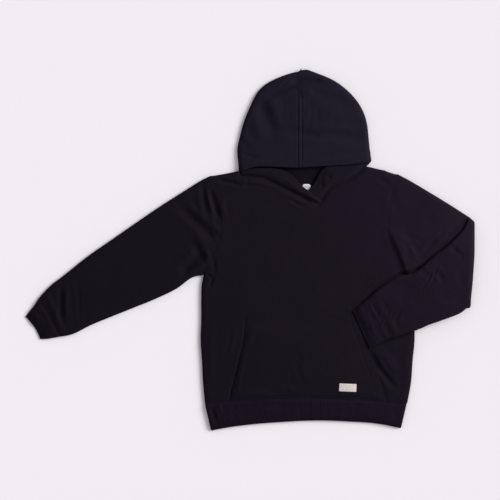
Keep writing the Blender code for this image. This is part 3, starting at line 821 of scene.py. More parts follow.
def turned(grid):
    """The grid with its rows as columns, to work on a side as on a row."""
    return grid.transpose(1, 0, 2)


def cloth_mesh(name, grid, facing, laps, cloth=None):
    """A mesh of quads on the grid, facing outwards, with a UV map of distances on the cloth in metres.

    Where no places on the cloth are given, they are the mean distances along the rows and columns.
    The borders and the bends into the seam allowances are sharp, so that a seam is only a fine line.
    """
    tube = facing == "out"
    rows, columns = grid.shape[:2]
    number = np.arange(rows * columns).reshape(rows, columns)
    wide = grid
    if tube:
        number = np.concatenate([number, number[:, :1]], 1)
        wide = np.concatenate([grid, grid[:, :1]], 1)
    quads = np.stack([number[:-1, :-1], number[:-1, 1:], number[1:, 1:], number[1:, :-1]], 2)
    normal = np.cross(wide[:-1, 1:] - wide[:-1, :-1], wide[1:, :-1] - wide[:-1, :-1])
    turned_round = (normal * outward(grid, facing)[:-1, : normal.shape[1]]).sum() < 0
    if turned_round:
        quads = quads[..., ::-1]
    if cloth is None:
        step_u = np.linalg.norm(np.diff(wide, axis=1), axis=2).mean(0)
        step_v = np.linalg.norm(np.diff(wide, axis=0), axis=2).mean(1)
        u = np.concatenate([[0], np.cumsum(step_u)])
        cloth = np.stack(np.meshgrid(u - u.mean(), -np.concatenate([[0], np.cumsum(step_v)])), 2)
    place = cloth * MM
    corner = [place[:-1, :-1], place[:-1, 1:], place[1:, 1:], place[1:, :-1]]
    corners = np.stack(corner[::-1] if turned_round else corner, 2)
    mesh = bpy.data.meshes.new(name)
    mesh.from_pydata((grid.reshape(-1, 3) * MM).tolist(), [], quads.reshape(-1, 4).tolist())
    mesh.uv_layers.new(name="cloth").data.foreach_set("uv", corners.ravel())
    mesh.shade_smooth()
    ends = np.empty(2 * len(mesh.edges), np.int32)
    mesh.edges.foreach_get("vertices", ends)
    row, column = np.divmod(ends.reshape(-1, 2), columns)
    sharp = (row[:, 0] == row[:, 1]) & np.isin(row[:, 0], (0, laps[0], rows - 1))
    if not tube:
        sharp |= (column[:, 0] == column[:, 1]) & np.isin(column[:, 0], (0, laps[1], columns - 1))
    mesh.attributes.new("sharp_edge", "BOOLEAN", "EDGE").data.foreach_set("value", sharp)
    return mesh


def in_scene(name, data, place=(0.0, 0.0, 0.0), turn=(0.0, 0.0, 0.0)):
    """A new object of this data, at its place in the scene."""
    made = bpy.data.objects.new(name, data)
    made.location = place
    made.rotation_euler = turn
    bpy.context.scene.collection.objects.link(made)
    return made


def shell(node, name, grid, facing, wall, material, slot="fleece", laps=(0, 0), cloth=None, skived=0):
    """A finished piece of cloth that stands for one solid.

    Its seam allowances, the first rows and columns that laps counts, are only a third as thick. A
    skived edge reaches its full thickness after so many rows. Places on the flat cloth are continued
    evenly over the allowances and the hems that the grid has gained.
    """
    if cloth is not None:
        gained = [have - had - lap for have, had, lap in zip(grid.shape, cloth.shape, laps)]
        cloth = np.pad(cloth, (*zip(laps, gained), (0, 0)), "reflect", reflect_type="odd")
    piece = in_scene(name, cloth_mesh(name, grid, facing, laps, cloth))
    full = np.ones(grid.shape[:2])
    full[: laps[0]] = 0.0
    goes_on = np.linalg.norm(grid[:, laps[1]] - grid[:, 0], axis=1) > 1.0
    full[goes_on, : laps[1]] = 0.0
    full[:skived] = np.linspace(0, 1, skived)[:, None]
    thickness = piece.vertex_groups.new(name="wall")
    for share in np.unique(full):
        thickness.add(np.flatnonzero(full == share).tolist(), share, "REPLACE")
    solid = piece.modifiers.new("wall", "SOLIDIFY")
    solid.thickness = wall * MM
    solid.offset = -1.0
    solid.vertex_group = thickness.name
    solid.thickness_vertex_group = 0.33
    piece.data.materials.append(material)
    # The inner faces get the darker copy of the fleece, which paints the shade inside the neck.
    if slot == "fleece":
        piece.data.materials.append(INSIDE_CLOTH_PAINTED_SHADE)
        solid.material_offset = 1
    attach(piece, "root")
    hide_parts(node)
    SHELLS[node] = piece
    low, high = grid[..., 2].min(), grid[..., 2].max()
    print(f"{name}: {len(piece.data.polygons)} quads, {low:.1f} to {high:.1f} mm high")


# %% [markdown]
# ## Cloth and thread
# The outside of this fleece is a fine jersey knit with a short nap, dyed nearly black with a little
# violet. It is matt: almost no mirror light, a soft sheen where the nap is seen edge on, and a
# slightly mottled colour where the nap lies one way or the other. An image would show one scale
# only, so the knit is worked out from the distance along the cloth.

# %% Nodes
def linear(code):
    """An sRGB hex colour as linear red, green, blue and alpha."""
    parts = [int(code[i : i + 2], 16) / 255 for i in (1, 3, 5)]
    return [p / 12.92 if p <= 0.04045 else ((p + 0.055) / 1.055) ** 2.4 for p in parts] + [1.0]


def add(tree, kind, *inputs, **named):
    """One shader node. Capital names are sockets, other names are settings.

    Each input is a value, or the node or the socket that it is linked from.
    """
    made = tree.nodes.new("ShaderNode" + kind)
    for key in [key for key in named if key.islower()]:
        setattr(made, key, named.pop(key))
    for key, value in [*enumerate(inputs), *named.items()]:
        if isinstance(value, bpy.types.Node):
            value = value.outputs[0]
        if isinstance(value, bpy.types.NodeSocket):
            tree.links.new(value, made.inputs[key])
        else:
            made.inputs[key].default_value = value
    return made


def new_material(name, roughness, specular, sheen=0.0):
    """A material with its shader, whose uniform values sit on the shader's own sockets."""
    material = bpy.data.materials.new(name)
    material.use_nodes = True
    shader = material.node_tree.nodes["Principled BSDF"]
    shader.inputs["Roughness"].default_value = roughness
    shader.inputs["Specular IOR Level"].default_value = specular
    shader.inputs["Sheen Weight"].default_value = sheen
    return material, material.node_tree, shader


def colour_between(tree, shader, share, dark, light, start=0.0, end=1.0):
    """The base colour: dark where the share is at its start, and light where it is at its end."""
    ramp = add(tree, "ValToRGB", share)
    for stop, position, colour in zip(ramp.color_ramp.elements, (start, end), (dark, light)):
        stop.position = position
        stop.color = linear(colour)
    tree.links.new(ramp.outputs[0], shader.inputs["Base Color"])


print("near black, linear:", [round(part, 4) for part in linear("#0c0810")])

# %% Jersey face of the fleece
WALE = 1.3  # mm between columns of stitches; the real ones are about 0.9 and drawn coarser to show
COURSE = 1.0  # mm between rows of stitches
BROAD, CLUMPS, NAP = 22.0, 3.1, 0.7  # mm, the sizes of the mottling, of the nap's clumps and of the nap


def knit_height(tree, uv, wale, course):
    """Height of a jersey knit, 0 to 1: each column is a ridge, and its stitches are V-shaped waves."""
    across, down, _ = add(tree, "SeparateXYZ", uv).outputs
    column = add(tree, "Math", across, wale * MM, operation="DIVIDE")
    column = add(tree, "Math", column, 0.5, operation="PINGPONG")
    row = add(tree, "Math", down, course * MM, operation="DIVIDE")
    bent = add(tree, "Math", column, 1.1, row, operation="MULTIPLY_ADD")
    wave = add(tree, "Math", bent, 2 * math.pi, operation="MULTIPLY")
    wave = add(tree, "Math", wave, operation="SINE")
    ridge = add(tree, "Math", column, math.pi, operation="MULTIPLY")
    ridge = add(tree, "Math", ridge, operation="SINE")
    stitch = add(tree, "Math", wave, 0.25, 0.75, operation="MULTIPLY_ADD")
    return add(tree, "Math", ridge, stitch, operation="MULTIPLY")


def fleece_material(name, dark, light, wale=WALE, course=COURSE, depth=0.25):
    """Near-black knit: colour mottled by the nap and darker between the stitches, which is painted shade,
    and bump from the stitches and the nap.
    """
    material, tree, shader = new_material(name, 0.9, 0.06, sheen=0.02)
    shader.inputs["Sheen Roughness"].default_value = 0.6
    shader.inputs["Sheen Tint"].default_value = linear("#b9a8cc")
    knit = knit_height(tree, add(tree, "UVMap", uv_map="cloth"), wale, course)
    place = add(tree, "TexCoord").outputs["Object"]
    broad = add(tree, "TexNoise", place, Scale=1 / (BROAD * MM), Detail=3.0)
    clumps = add(tree, "TexNoise", place, Scale=1 / (CLUMPS * MM), Detail=2.0)
    nap = add(tree, "TexNoise", place, Scale=1 / (NAP * MM), Detail=2.0)
    shade = add(tree, "Math", clumps, 0.5, operation="MULTIPLY")
    shade = add(tree, "Math", broad, 0.3, shade, operation="MULTIPLY_ADD")
    # The stitches' ridges are lighter and the valleys between them darker: painted shade of the knit.
    shade = add(tree, "Math", knit, 0.25, shade, operation="MULTIPLY_ADD")
    colour_between(tree, shader, shade, dark, light, 0.2, 0.85)
    rough = add(tree, "Math", clumps, 0.12, 0.84, operation="MULTIPLY_ADD")
    tree.links.new(rough.outputs[0], shader.inputs["Roughness"])
    bump = add(tree, "Bump", Height=knit, Distance=depth * MM, Strength=0.5)
    bump = add(tree, "Bump", Height=nap, Distance=0.25 * MM, Strength=0.5, Normal=bump)
    bump = add(tree, "Bump", Height=clumps, Distance=0.5 * MM, Strength=0.4, Normal=bump)
    tree.links.new(bump.outputs[0], shader.inputs["Normal"])
    return material


# The hood's copy of the fleece is a shade lighter: painted light, for more light falls on the hood. The
# inside's copy is darker:
# painted shade, for the inside lies in shadow, and its stitches hardly show. Rib is a coarser knit than
# jersey, with deeper valleys.
BODY_CLOTH = fleece_material("brushed_cotton_fleece", "#0c0810", "#110c15")
HOOD_CLOTH_PAINTED_LIGHT = fleece_material("brushed_cotton_fleece_hood_painted_light", "#0e0c13", "#15121d")
INSIDE_CLOTH_PAINTED_SHADE = fleece_material("inside_of_fleece_painted_shade", "#07050a", "#0a070e", depth=0.05)
RIB_CLOTH = fleece_material("cotton_rib_knit", "#0d0911", "#120c17", 1.45, 1.1, 0.3)

# %% Thread, labels and the table
def speckled_material(name, roughness, specular, size, dark, light):
    """A matt material whose colour differs a little between spots of this size in mm."""
    material, tree, shader = new_material(name, roughness, specular)
    place = add(tree, "TexCoord").outputs["Object"]
    spots = add(tree, "TexNoise", place, Scale=1 / (size * MM), Detail=2.0)
    colour_between(tree, shader, spots, dark, light)
    return material


def label_material(name, dark, light, pitch, roughness):
    """A woven label: threads pass over and under each other, a chequer of small cushions."""
    material, tree, shader = new_material(name, roughness, 0.3, sheen=0.1)
    uv = add(tree, "UVMap", uv_map="cloth")
    waves = []
    for way in add(tree, "SeparateXYZ", uv).outputs[:2]:
        phase = add(tree, "Math", way, math.pi / (pitch * MM), operation="MULTIPLY")
        waves.append(add(tree, "Math", phase, operation="SINE"))
    weave = add(tree, "Math", *waves, operation="MULTIPLY")
    stain = add(tree, "TexNoise", uv, Scale=1 / (4 * MM), Detail=3.0)
    # The colour is lighter on the woven cushions and darker between them: painted shade of the weave.
    shade = add(tree, "Math", weave, 0.25, stain, operation="MULTIPLY_ADD")
    colour_between(tree, shader, shade, dark, light, 0.1, 0.75)
    bump = add(tree, "Bump", Height=weave, Distance=0.12 * MM, Strength=0.6)
    tree.links.new(bump.outputs[0], shader.inputs["Normal"])
    return material


# Spun polyester is matt, and a shade lighter than the fleece, so that a row of stitches just shows.
POLYESTER_THREAD = speckled_material("polyester_thread", 0.8, 0.06, 1.1, "#130f17", "#1f1a25")
# A damask label is pale and half matt. Its weave is drawn at 0.5 mm, about twice as coarse as real.
LABEL_CLOTH = label_material("woven_damask_label", "#9d938d", "#bcb4af", 0.5, 0.75)
# Satin's long floats lie flat and smooth, so it is whiter and catches more light.
SATIN_CLOTH = label_material("printed_satin_label", "#aaa5ae", "#c3bec6", 0.35, 0.4)
# Card is matt and nearly white, with fibres a shade apart.
TABLE_CARD = speckled_material("matt_card", 0.9, 0.2, 2.0, "#ebe8ec", "#efecef")
print("materials:", len(bpy.data.materials))

# %% [markdown]
# ## Body
# The front and the back are single panels. At the side seams and the shoulders their edges turn
# towards each other in a quarter circle, while at the armholes and the neck they run on into the
# next piece, so the turn fades out there. The rows follow the waistband's seam at one end and the
# neck at the other.

# %% Front and back
def panel_top(top_table, shares):
    """Top edge of a panel at each share of its width, and how much of a shoulder it is there."""
    x, y, shoulder = np.array(top_table, float).T
    left, right = edges_at(BODY, y)
    across = np.r_[0, (x - left) / (right - left), 1]
    line_y = np.interp(shares, across, np.r_[SHOULDER_Y[LEFT], y, SHOULDER_Y[RIGHT]])
    return line_y, np.interp(shares, across, np.r_[1, shoulder, 1])


def panel(top_table, middle, radius, shares, row_shares, height):
    """Grid of a body panel.

    Each column goes straight up from the waistband. Near a side its distance in plan is the radius
    less its cosine, and its height runs from the middle to the full height as the sine does.
    """
    turn = np.linspace(0, 0.5 * np.pi, ROUND_STEPS + 1)[:-1]
    side_turn = np.pad(turn, (0, len(shares)), constant_values=0.5 * np.pi)
    side_turn = np.r_[side_turn, turn[::-1]]
    side = np.repeat([1, 0, -1], [ROUND_STEPS, len(shares), ROUND_STEPS])
    line_y, shoulder = panel_top(top_table, shares)
    line_y = np.pad(line_y, ROUND_STEPS, "edge")
    shoulder = np.pad(shoulder, ROUND_STEPS, constant_values=1.0)
    share = np.r_[np.zeros(ROUND_STEPS), shares, np.ones(ROUND_STEPS)]
    seam_y = band_seam(BODY[0][LEFT] + (BODY[0][RIGHT] - BODY[0][LEFT]) * share) + SEAM_GAP
    rows = seam_y + (line_y - radius - seam_y) * row_shares[:, None]
    arc = radius * (1 - np.cos(turn[::-1]))[:, None]
    y = np.concatenate([rows, line_y - arc])
    down = np.r_[np.ones(len(row_shares)), np.sin(turn[::-1])][:, None]
    left, right = edges_at(BODY, y)
    plan = radius * (1 - np.cos(side_turn)) * np.ones_like(y)
    x = np.where(side > 0, left + plan, right - plan)
    x = np.where(side == 0, left + radius + (right - left - 2 * radius) * share, x)
    past = np.clip((y - ARMPIT_Y) / ARM_ROUND, 0, 1)
    sewn = np.sqrt(1 - (1 - past) ** 2)
    out = (1 - (1 - sewn) * (1 - np.sin(side_turn))) * (1 - shoulder * (1 - down))
    return np.stack([x, y, middle + (height(x, y) - middle) * out], 2)


def from_line(line, x, y):
    """Distance of each place from a line of straight pieces, in plan."""
    nearest = np.full(np.broadcast(x, y).shape, 1e3)
    for (x0, y0), (x1, y1) in zip(line, line[1:]):
        long = (x1 - x0) ** 2 + (y1 - y0) ** 2
        share = np.clip(((x - x0) * (x1 - x0) + (y - y0) * (y1 - y0)) / long, 0, 1)
        nearest = np.minimum(nearest, np.hypot(x - x0 - share * (x1 - x0), y - y0 - share * (y1 - y0)))
    return nearest


PANEL_WIDE, PANEL_LONG = 324.0, 366.0  # about, to space the grid's columns and rows by
BAND_REACH, NEAR_BAND = 16.0, 20  # rows are closer so near to the waistband, and there so many
FRONT_ROWS = np.r_[np.linspace(0, BAND_REACH, NEAR_BAND + 1)[:-1], np.linspace(BAND_REACH, PANEL_LONG, 184)]


def front_with_neck(x, y):
    """The front's height, drawn down beside the neck seam."""
    near = from_line([row[:2] for row in FRONT_TOP if row[2] == 0], x, y)
    height = front_height(x, y) + 0.12 * groove(near - 8.0, 4.0)
    return height + (SEAM_LEVEL - height) * groove(near, 4.2)


front_columns = steps(PANEL_WIDE, 1.1, 1.9, 8.0)
front = panel(FRONT_TOP, EDGE + 0.1, SIDE_ROUND, front_columns, FRONT_ROWS / PANEL_LONG, front_with_neck)
shell("front_panel", "front_fleece", front, "up", FLEECE, BODY_CLOTH)
back_columns = steps(PANEL_WIDE, 2.0, 4.0, 8.0)
back = panel(BACK_TOP, EDGE - 0.1, UNDER_ROUND, back_columns, np.linspace(0, 1, 92), under_height)
shell("back_panel", "back_fleece", back, "down", FLEECE, BODY_CLOTH)

# %% [markdown]
# ## Sleeves
# A flat sleeve is a tube pressed into two layers. Each section crosses the sleeve from its upper
# edge to its lower one, on top and back underneath, and the two edges are quarter ellipses. At the
# armhole the sections follow the body's own edge, and they straighten on the way down the arm.

# %% Sections of a flattened tube
def loop_places(width, radius, columns, under):
    """Distances from a section's first edge: along its top to the other edge, and back along its base.

    In the rounding of an edge they are the radius less its cosine.
    """
    edge = np.ones_like(width) * radius * (1 - np.cos(np.linspace(0, 0.5 * np.pi, ROUND_STEPS)))
    flat, below = (
        radius + (width - 2 * radius) * np.linspace(0, 1, count + 2)[1:-1] for count in (columns, under)
    )
    top = np.concatenate([edge, flat, width - edge[:, ::-1]], 1)
    return top, np.concatenate([width - edge[:, 1:], below[:, ::-1], edge[:, :0:-1]], 1)


def section_loop(plan, width, heights, middle, radius, columns, under):
    """Points round each section, along its top and back along its base.

    plan turns shares of the way across into x and y, width is each section's width, and heights
    give the top and the base, which the roundings join to the middle's height as the sine does.
    """
    width = np.asarray(width, float)[:, None]
    places = loop_places(width, np.minimum(radius, 0.45 * width), columns, under)
    bend = np.sin(np.linspace(0, 0.5 * np.pi, ROUND_STEPS))
    bends = np.r_[bend, np.ones(columns), bend[::-1]], np.r_[bend[1:], np.ones(under), bend[:0:-1]]
    sides = []
    for off, out, height in zip(places, bends, heights):
        at = plan(off / width)
        level = middle + (height(*at.transpose(2, 0, 1)) - middle) * out
        sides.append(np.concatenate([at, level[..., None]], 2))
    return np.concatenate(sides, 1)


def between(edges):
    """Points at shares of the way from each section's first edge point to its second."""
    first, last = edges[:, None, :2], edges[:, None, 2:]
    return lambda share: first + (last - first) * share[..., None]


def from_armhole(edges, column, shift):
    """The same, but on the body's armhole at the first section, straight 40% of the way down the arm."""
    straight, first = between(edges), between(np.repeat(edges[:1], len(edges), 0))
    curved = smooth_step(1 - np.linspace(0, 1, len(edges)) / 0.4)[:, None, None]

    def plan(share):
        """Straight across, plus how far the armhole departs from its own chord, less of it down the arm."""
        y = SHOULDER_Y[column] + (ARMPIT_Y - SHOULDER_Y[column]) * share
        hole = np.stack([read(BODY, column, y) + shift, y], 2)
        return straight(share) + (hole - first(share)) * curved

    return plan


def width_of(edges):
    """Distance from each section's first edge point to its second."""
    return np.linalg.norm(edges[:, 2:] - edges[:, :2], axis=1)


straight_edges = along(STRAIGHT_SLEEVE, 168)
straight = section_loop(
    from_armhole(straight_edges, LEFT, -SEAM_GAP),
    width_of(straight_edges),
    (body_height, under_height),
    middle=EDGE,
    radius=ARM_ROUND,
    columns=76,
    under=34,
)
straight = lapped(straight, "out", FLEECE)
shell("sleeve_straight", "straight_sleeve_fleece", straight, "out", FLEECE, BODY_CLOTH, laps=(2, 0))

# %% [markdown]
# The folded sleeve is the same tube, bent over at the elbow. Its upper arm lies on the table, then
# the sections turn half a circle about the fold's line, and the forearm comes back on top. While
# the forearm's heights are worked out it is still unfolded, and then it is turned as the fold is.

# %% Folded sleeve
def about_fold(points, turn):
    """Points turned about the fold's line, which lies at the height of the fold's middle."""
    first, last = np.array(UPPER_ARM[-1][:2], float), np.array(UPPER_ARM[-1][2:], float)
    way = unit(last - first)
    away = np.array([-way[1], way[0]])
    reach = FOLD_CENTRE - points[..., 2]
    plan = points[..., :2] + away * (reach * np.sin(turn))[..., None]
    return np.concatenate([plan, (FOLD_CENTRE - reach * np.cos(turn))[..., None]], 2)


UNFOLDED = 2 * FOLD_CENTRE  # a forearm's height and its unfolded height add up to this
ELBOW_ROUND = 6.5
ELBOW_SLANT = 5.5  # the fold's upper corner goes on down the slope of the arm's upper edge
FOREARM_ROUND = 5.0
UPPER_SECTIONS, FORE_SECTIONS = 66, 120
FOLD_BOW_Y, FOLD_BOW = (-93, -78, -50, -10, 20, 50), (-1.0, -1.2, 0.6, 2.0, 1.4, 0.4)
PRESSED_CORNERS = ((353.0, 54.0, 60.0, 0.42), (348.0, -96.0, 40.0, 0.25))  # x, y, reach, how much flatter


def sleeve_part(plan, edges, heights, middle, radius):
    """Sections of the folded sleeve: both layers get as many points, as they change places at the fold."""
    return section_loop(plan, width_of(edges), heights, middle, radius, columns=66, under=66)


upper_edges = along(UPPER_ARM, UPPER_SECTIONS)
upper_part = sleeve_part(
    from_armhole(upper_edges, RIGHT, SEAM_GAP),
    upper_edges,
    (body_height, under_height),
    EDGE,
    np.linspace(ARM_ROUND, ELBOW_ROUND, UPPER_SECTIONS)[:, None],
)
fold_turns = np.linspace(0, np.pi, 15)[1:-1]
fold_edges = np.repeat(upper_edges[-1:], len(fold_turns), 0)
fold_part = sleeve_part(
    between(fold_edges),
    fold_edges,
    (lambda x, y: ARM_THICK + 0.25 * rolls(x, y, 30, 11), under_height),
    0.5 * ARM_THICK,
    ELBOW_ROUND,
)
fold_part = about_fold(fold_part, fold_turns[:, None])
cut_off = smooth_step(1 - np.linalg.norm(fold_part[..., :2] - upper_edges[-1, :2], axis=2) / 34.0)
fold_part[..., 1] -= ELBOW_SLANT * cut_off * np.sin(fold_turns)[:, None]
fold_part[..., 0] += np.interp(fold_part[..., 1], FOLD_BOW_Y, FOLD_BOW) * np.sin(fold_turns)[:, None]
fore_edges = along(FOREARM, FORE_SECTIONS)
fore_centre = 0.5 * (fore_edges[:, :2] + fore_edges[:, 2:])
fore_middle = 0.5 - 0.05 * smooth_step(np.arange(FORE_SECTIONS) / 40.0)  # the edges come to lie low
fore_middle = UNFOLDED - forearm_under(*fore_centre.T) - fore_middle * ARM_THICK
fore_part = sleeve_part(
    between(fore_edges),
    fore_edges,
    (lambda x, y: UNFOLDED - forearm_under(x, y), lambda x, y: UNFOLDED - forearm_height(x, y)),
    fore_middle[:, None],
    np.linspace(ELBOW_ROUND, FOREARM_ROUND, FORE_SECTIONS)[:, None],
)
folded = np.concatenate([upper_part, fold_part, about_fold(fore_part, np.pi)])
for corner_x, corner_y, reach, share in PRESSED_CORNERS:
    away = np.hypot(folded[..., 0] - corner_x, folded[..., 1] - corner_y)
    folded[..., 2] *= 1 - share * smooth_step(1 - away / reach)
folded = lapped(folded, "out", FLEECE)
shell("sleeve_folded", "folded_sleeve_fleece", folded, "out", FLEECE, BODY_CLOTH, laps=(2, 0))

# %% [markdown]
# ## Ribbed cuffs and waistband
# Rib knit is drawn in by its own elastic columns. Each rib is a rounded ridge, the height of the
# root of a sine, so the valleys are narrow and the ridges wide. A rib band is doubled over: its far
# edge is a fold, so the last row goes round half a circle into the opening.

# %% Cuffs
CUFF_ROUND = 0.8
CUFF_WALL = 0.7  # one layer of the doubled rib, pressed flat at the fold
CUFF_SECTIONS = 42
CUFF_LOOP = {"radius": 6.0, "columns": 150, "under": 100}  # rounding, and points on top and underneath
CUFF_WIDE = 70.0  # the laid width that the ribs are spaced over
LOW_RIBS = 0.25  # how much of their height the ribs have underneath


def ribbed(grid, ribs, fade, width, radius, columns, under, beneath):
    """The grid with ribs raised along its outward normals, as many as run once across its top.

    Underneath they lie on something, and stand out only as much as beneath says.
    """
    places = np.concatenate(loop_places(np.array([[width]]), radius, columns, under), 1)[0]
    ridge = np.sqrt(np.abs(np.sin(np.pi * ribs * places / width)))
    on_top = np.where(np.arange(grid.shape[1]) < columns + 2 * ROUND_STEPS, 1.0, beneath)
    raised = grid + RIB_RISE * (ridge * fade * on_top)[..., None] * outward(grid, "out")
    raised[..., 2] = np.maximum(raised[..., 2], 0.0)
    return raised


def cuff(node, name, table, sleeve, under, level, hollow, relief, end_fall, seed):
    """A cuff: a tube of rib from the seam to a fold, whose far edge is hollow by so much at its middle.

    Its ribs stand out in relief, and its top falls by end_fall at the far edge.
    """
    edges = along(table, CUFF_SECTIONS)
    way = unit((edges[-1, :2] + edges[-1, 2:]) - (edges[0, :2] + edges[0, 2:]))
    edges += np.r_[way, way] * np.linspace(SEAM_GAP, -CUFF_ROUND, CUFF_SECTIONS)[:, None]
    centre = 0.5 * (edges[:, :2] + edges[:, 2:])
    length = np.linalg.norm(centre[-1] - centre[0])
    down = np.linspace(0, length, CUFF_SECTIONS)[:, None]

    def plan(share):
        """Straight across, less a parabola that deepens with the square of the way down the cuff."""
        back = 4 * hollow * share * (1 - share) * (down / length) ** 2
        return between(edges)(share) - back[..., None] * way

    def top(x, y):
        """The layer below plus the cuff's own height, less its fall, drawn to the sleeve at the seam."""
        fall = 1.8 * down / length + end_fall * groove(length - down, 9.0)
        uneven = 0.3 * rolls(x, y, 24, seed) + 0.2 * rolls(x, y, 11, seed + 20)
        height = under(x, y) + level - 0.6 - fall + uneven
        return height + (sleeve(x, y) - 0.15 - height) * groove(down, 4.0)

    middle = under(*centre.T)[:, None] + 0.28 * level
    grid = section_loop(plan, width_of(edges), (top, under), middle, **CUFF_LOOP)
    fade = relief * smooth_step(down / 4.0) * (0.2 + 0.8 * smooth_step((length - down) / 5.0))
    grid = ribbed(grid, CUFF_RIBS, fade, CUFF_WIDE, **CUFF_LOOP, beneath=LOW_RIBS)
    grid = lapped(rolled(grid, "out", CUFF_ROUND, 11), "out", RIB)
    shell(node, name, grid, "out", CUFF_WALL, RIB_CLOTH, "rib", (2, 0))


cuff(
    "cuff_straight",
    "straight_cuff_rib",
    STRAIGHT_CUFF,
    body_height,
    under_height,
    BODY_TOP,
    hollow=2.8,
    relief=1.0,
    end_fall=2.4,
    seed=12,
)
cuff(
    "cuff_folded",
    "folded_cuff_rib",
    FOLDED_CUFF,
    forearm_height,
    forearm_under,
    ARM_THICK - 0.4,
    hollow=0.0,
    relief=0.6,
    end_fall=2.8,
    seed=13,
)

# %% Waistband
BAND_STEPS = np.concatenate([np.linspace(0, 0.2, 8), np.linspace(0.26, 1, 18)])
BAND_LENGTH = 39.0
BAND_LOOP = {"radius": 5.0, "columns": 670, "under": 336}
LOW_BAND_RIBS = 0.35
BAND_CREASES = (
    (-62, -252, -54, -274, 0, 7, 1.6),
    (-50, -246, -46, -262, 0, 6, -0.6),
    (-4, -246, 64, -251, -2, 10, 0.6),
    (146, -239, 166, -240, 0, 5, 0.8),
    (160, -247, 182, -249, 0, 6, 0.6),
    (228, -250, 234, -276, 0, 9, 0.5),
)


def band_plan(share):
    """Places across the band: from the seam's curve to the hem's, row by row, a hem's radius short."""
    seam, hem = (
        np.stack([x, read(line, 1, x)], 2)
        for line in (BAND_SEAM, HEM)
        for x in [line[0][0] + (line[-1][0] - line[0][0]) * share]
    )
    return seam + (hem - seam) * (1 - HEM_ROUND / BAND_LENGTH) * BAND_STEPS[:, None, None]


band_down = BAND_LENGTH * BAND_STEPS[:, None]


def band_top(x, y):
    """Top of the waistband: a little low in the seam, full over its width, and falling to its fold."""
    swell = BAND_TOP - 0.4 * groove(band_down, 3.6) - 1.3 * groove(BAND_LENGTH - band_down, 4.0)
    return swell + 0.25 * rolls(x, y, 40, 14) - creases(BAND_CREASES, x, y)


band_width = np.linspace(324.0, 304.0, len(BAND_STEPS))
band = section_loop(band_plan, band_width, (band_top, under_height), EDGE, **BAND_LOOP)
band_fade = smooth_step(band_down / 5.0) * smooth_step((BAND_LENGTH - band_down) / 2.0 + 0.4)
band = ribbed(band, BAND_RIBS, band_fade, band_width.mean(), **BAND_LOOP, beneath=LOW_BAND_RIBS)
band = lapped(rolled(band, "out", HEM_ROUND, 6), "out", RIB)
shell("waistband", "waistband_rib", band, "out", RIB, RIB_CLOTH, "rib", (2, 0))

# %% [markdown]
# ## Hood
# The hood is two halves joined by a seam over the crown. Each half is a sheet folded along the
# outline: it comes up from the neck underneath, goes round the outline and over the top. A grid of
# straight rows would end in slivers either at the crown or at the ends of the open edge, so the
# paths over the top fan out from the foot of the centre seam instead.

# %% Two halves
FOOT = 3.0  # the fan's paths end over so short a stretch of the seam
PATHS, OVER, UNDER = 96, 72, 30  # paths, and places along each one on top and underneath
SEAM_PATHS = 8  # so many of them, next to the seam, start between it and the outline


def hood_half(fold, column, seam_side):
    """Grid of half the hood, a hem's radius short of its open edge, and its places on the flat cloth.

    The first path runs down the seam and the last one along the open edge, to which the paths near
    it are bent. On the flat cloth the under layer is the mirror image of its path in the outline.
    """
    side_y, neck_x = along(fold, PATHS).T
    seam_x = HOOD_SEAM_X + seam_side * SEAM_GAP
    side = np.stack([read(HOOD, column, side_y), side_y], 1)
    side[:, 0] = seam_x + (side[:, 0] - seam_x) * np.minimum(np.arange(PATHS) / SEAM_PATHS, 1.0)
    neck_x[0] = HOOD_SEAM_X
    neck_line = np.array(BACK_TOP, float)
    neck = np.stack([neck_x, np.interp(neck_x, neck_line[:, 0], neck_line[:, 1]) + SEAM_GAP], 1)
    foot_y = float(rim(seam_x)) + HEM_ROUND
    foot = np.stack([np.full(PATHS, seam_x), foot_y + FOOT * np.linspace(1, 0, PATHS)], 1)

    def path(end, radius, count):
        """Places from the outline to an end, with a rounding whose plan is the radius less its cosine."""
        length = np.maximum(np.linalg.norm(end - side, axis=1, keepdims=True), radius + 1.0)
        edge = radius * (1 - np.cos(np.linspace(0, 0.5 * np.pi, ROUND_STEPS))) * np.ones_like(length)
        off = np.concatenate([edge, radius + (length - radius) * np.linspace(0, 1, count)[1:]], 1)
        return side[:, None] + unit(end - side)[:, None] * off[..., None]

    def lifted(place, level):
        """The places at their heights, which run round a quarter ellipse near the outline."""
        out = np.ones(place.shape[1])
        out[:ROUND_STEPS] = np.sin(np.linspace(0, 0.5 * np.pi, ROUND_STEPS))
        middle = EDGE + 0.3
        height = middle + (level(place[..., 0], place[..., 1]) - middle) * out
        return np.concatenate([place, height[..., None]], 2)

    over, under = path(foot, SIDE_ROUND, OVER), path(neck, UNDER_ROUND, UNDER)
    x, y = over[..., 0], over[..., 1]
    chord = side[-1, 1] + (foot_y - side[-1, 1]) * (x - side[-1, 0]) / (seam_x - side[-1, 0])
    over[..., 1] += (rim(x) + HEM_ROUND - chord) * smooth_step(1 - (y - chord) / 30.0)
    mirrored = 2 * side[:, None] - under
    grid = np.concatenate([lifted(under, under_height)[:, :0:-1], lifted(over, hood_height)], 1)
    cloth = np.concatenate([mirrored[:, :0:-1], over], 1)
    return turned(grid), turned(cloth)


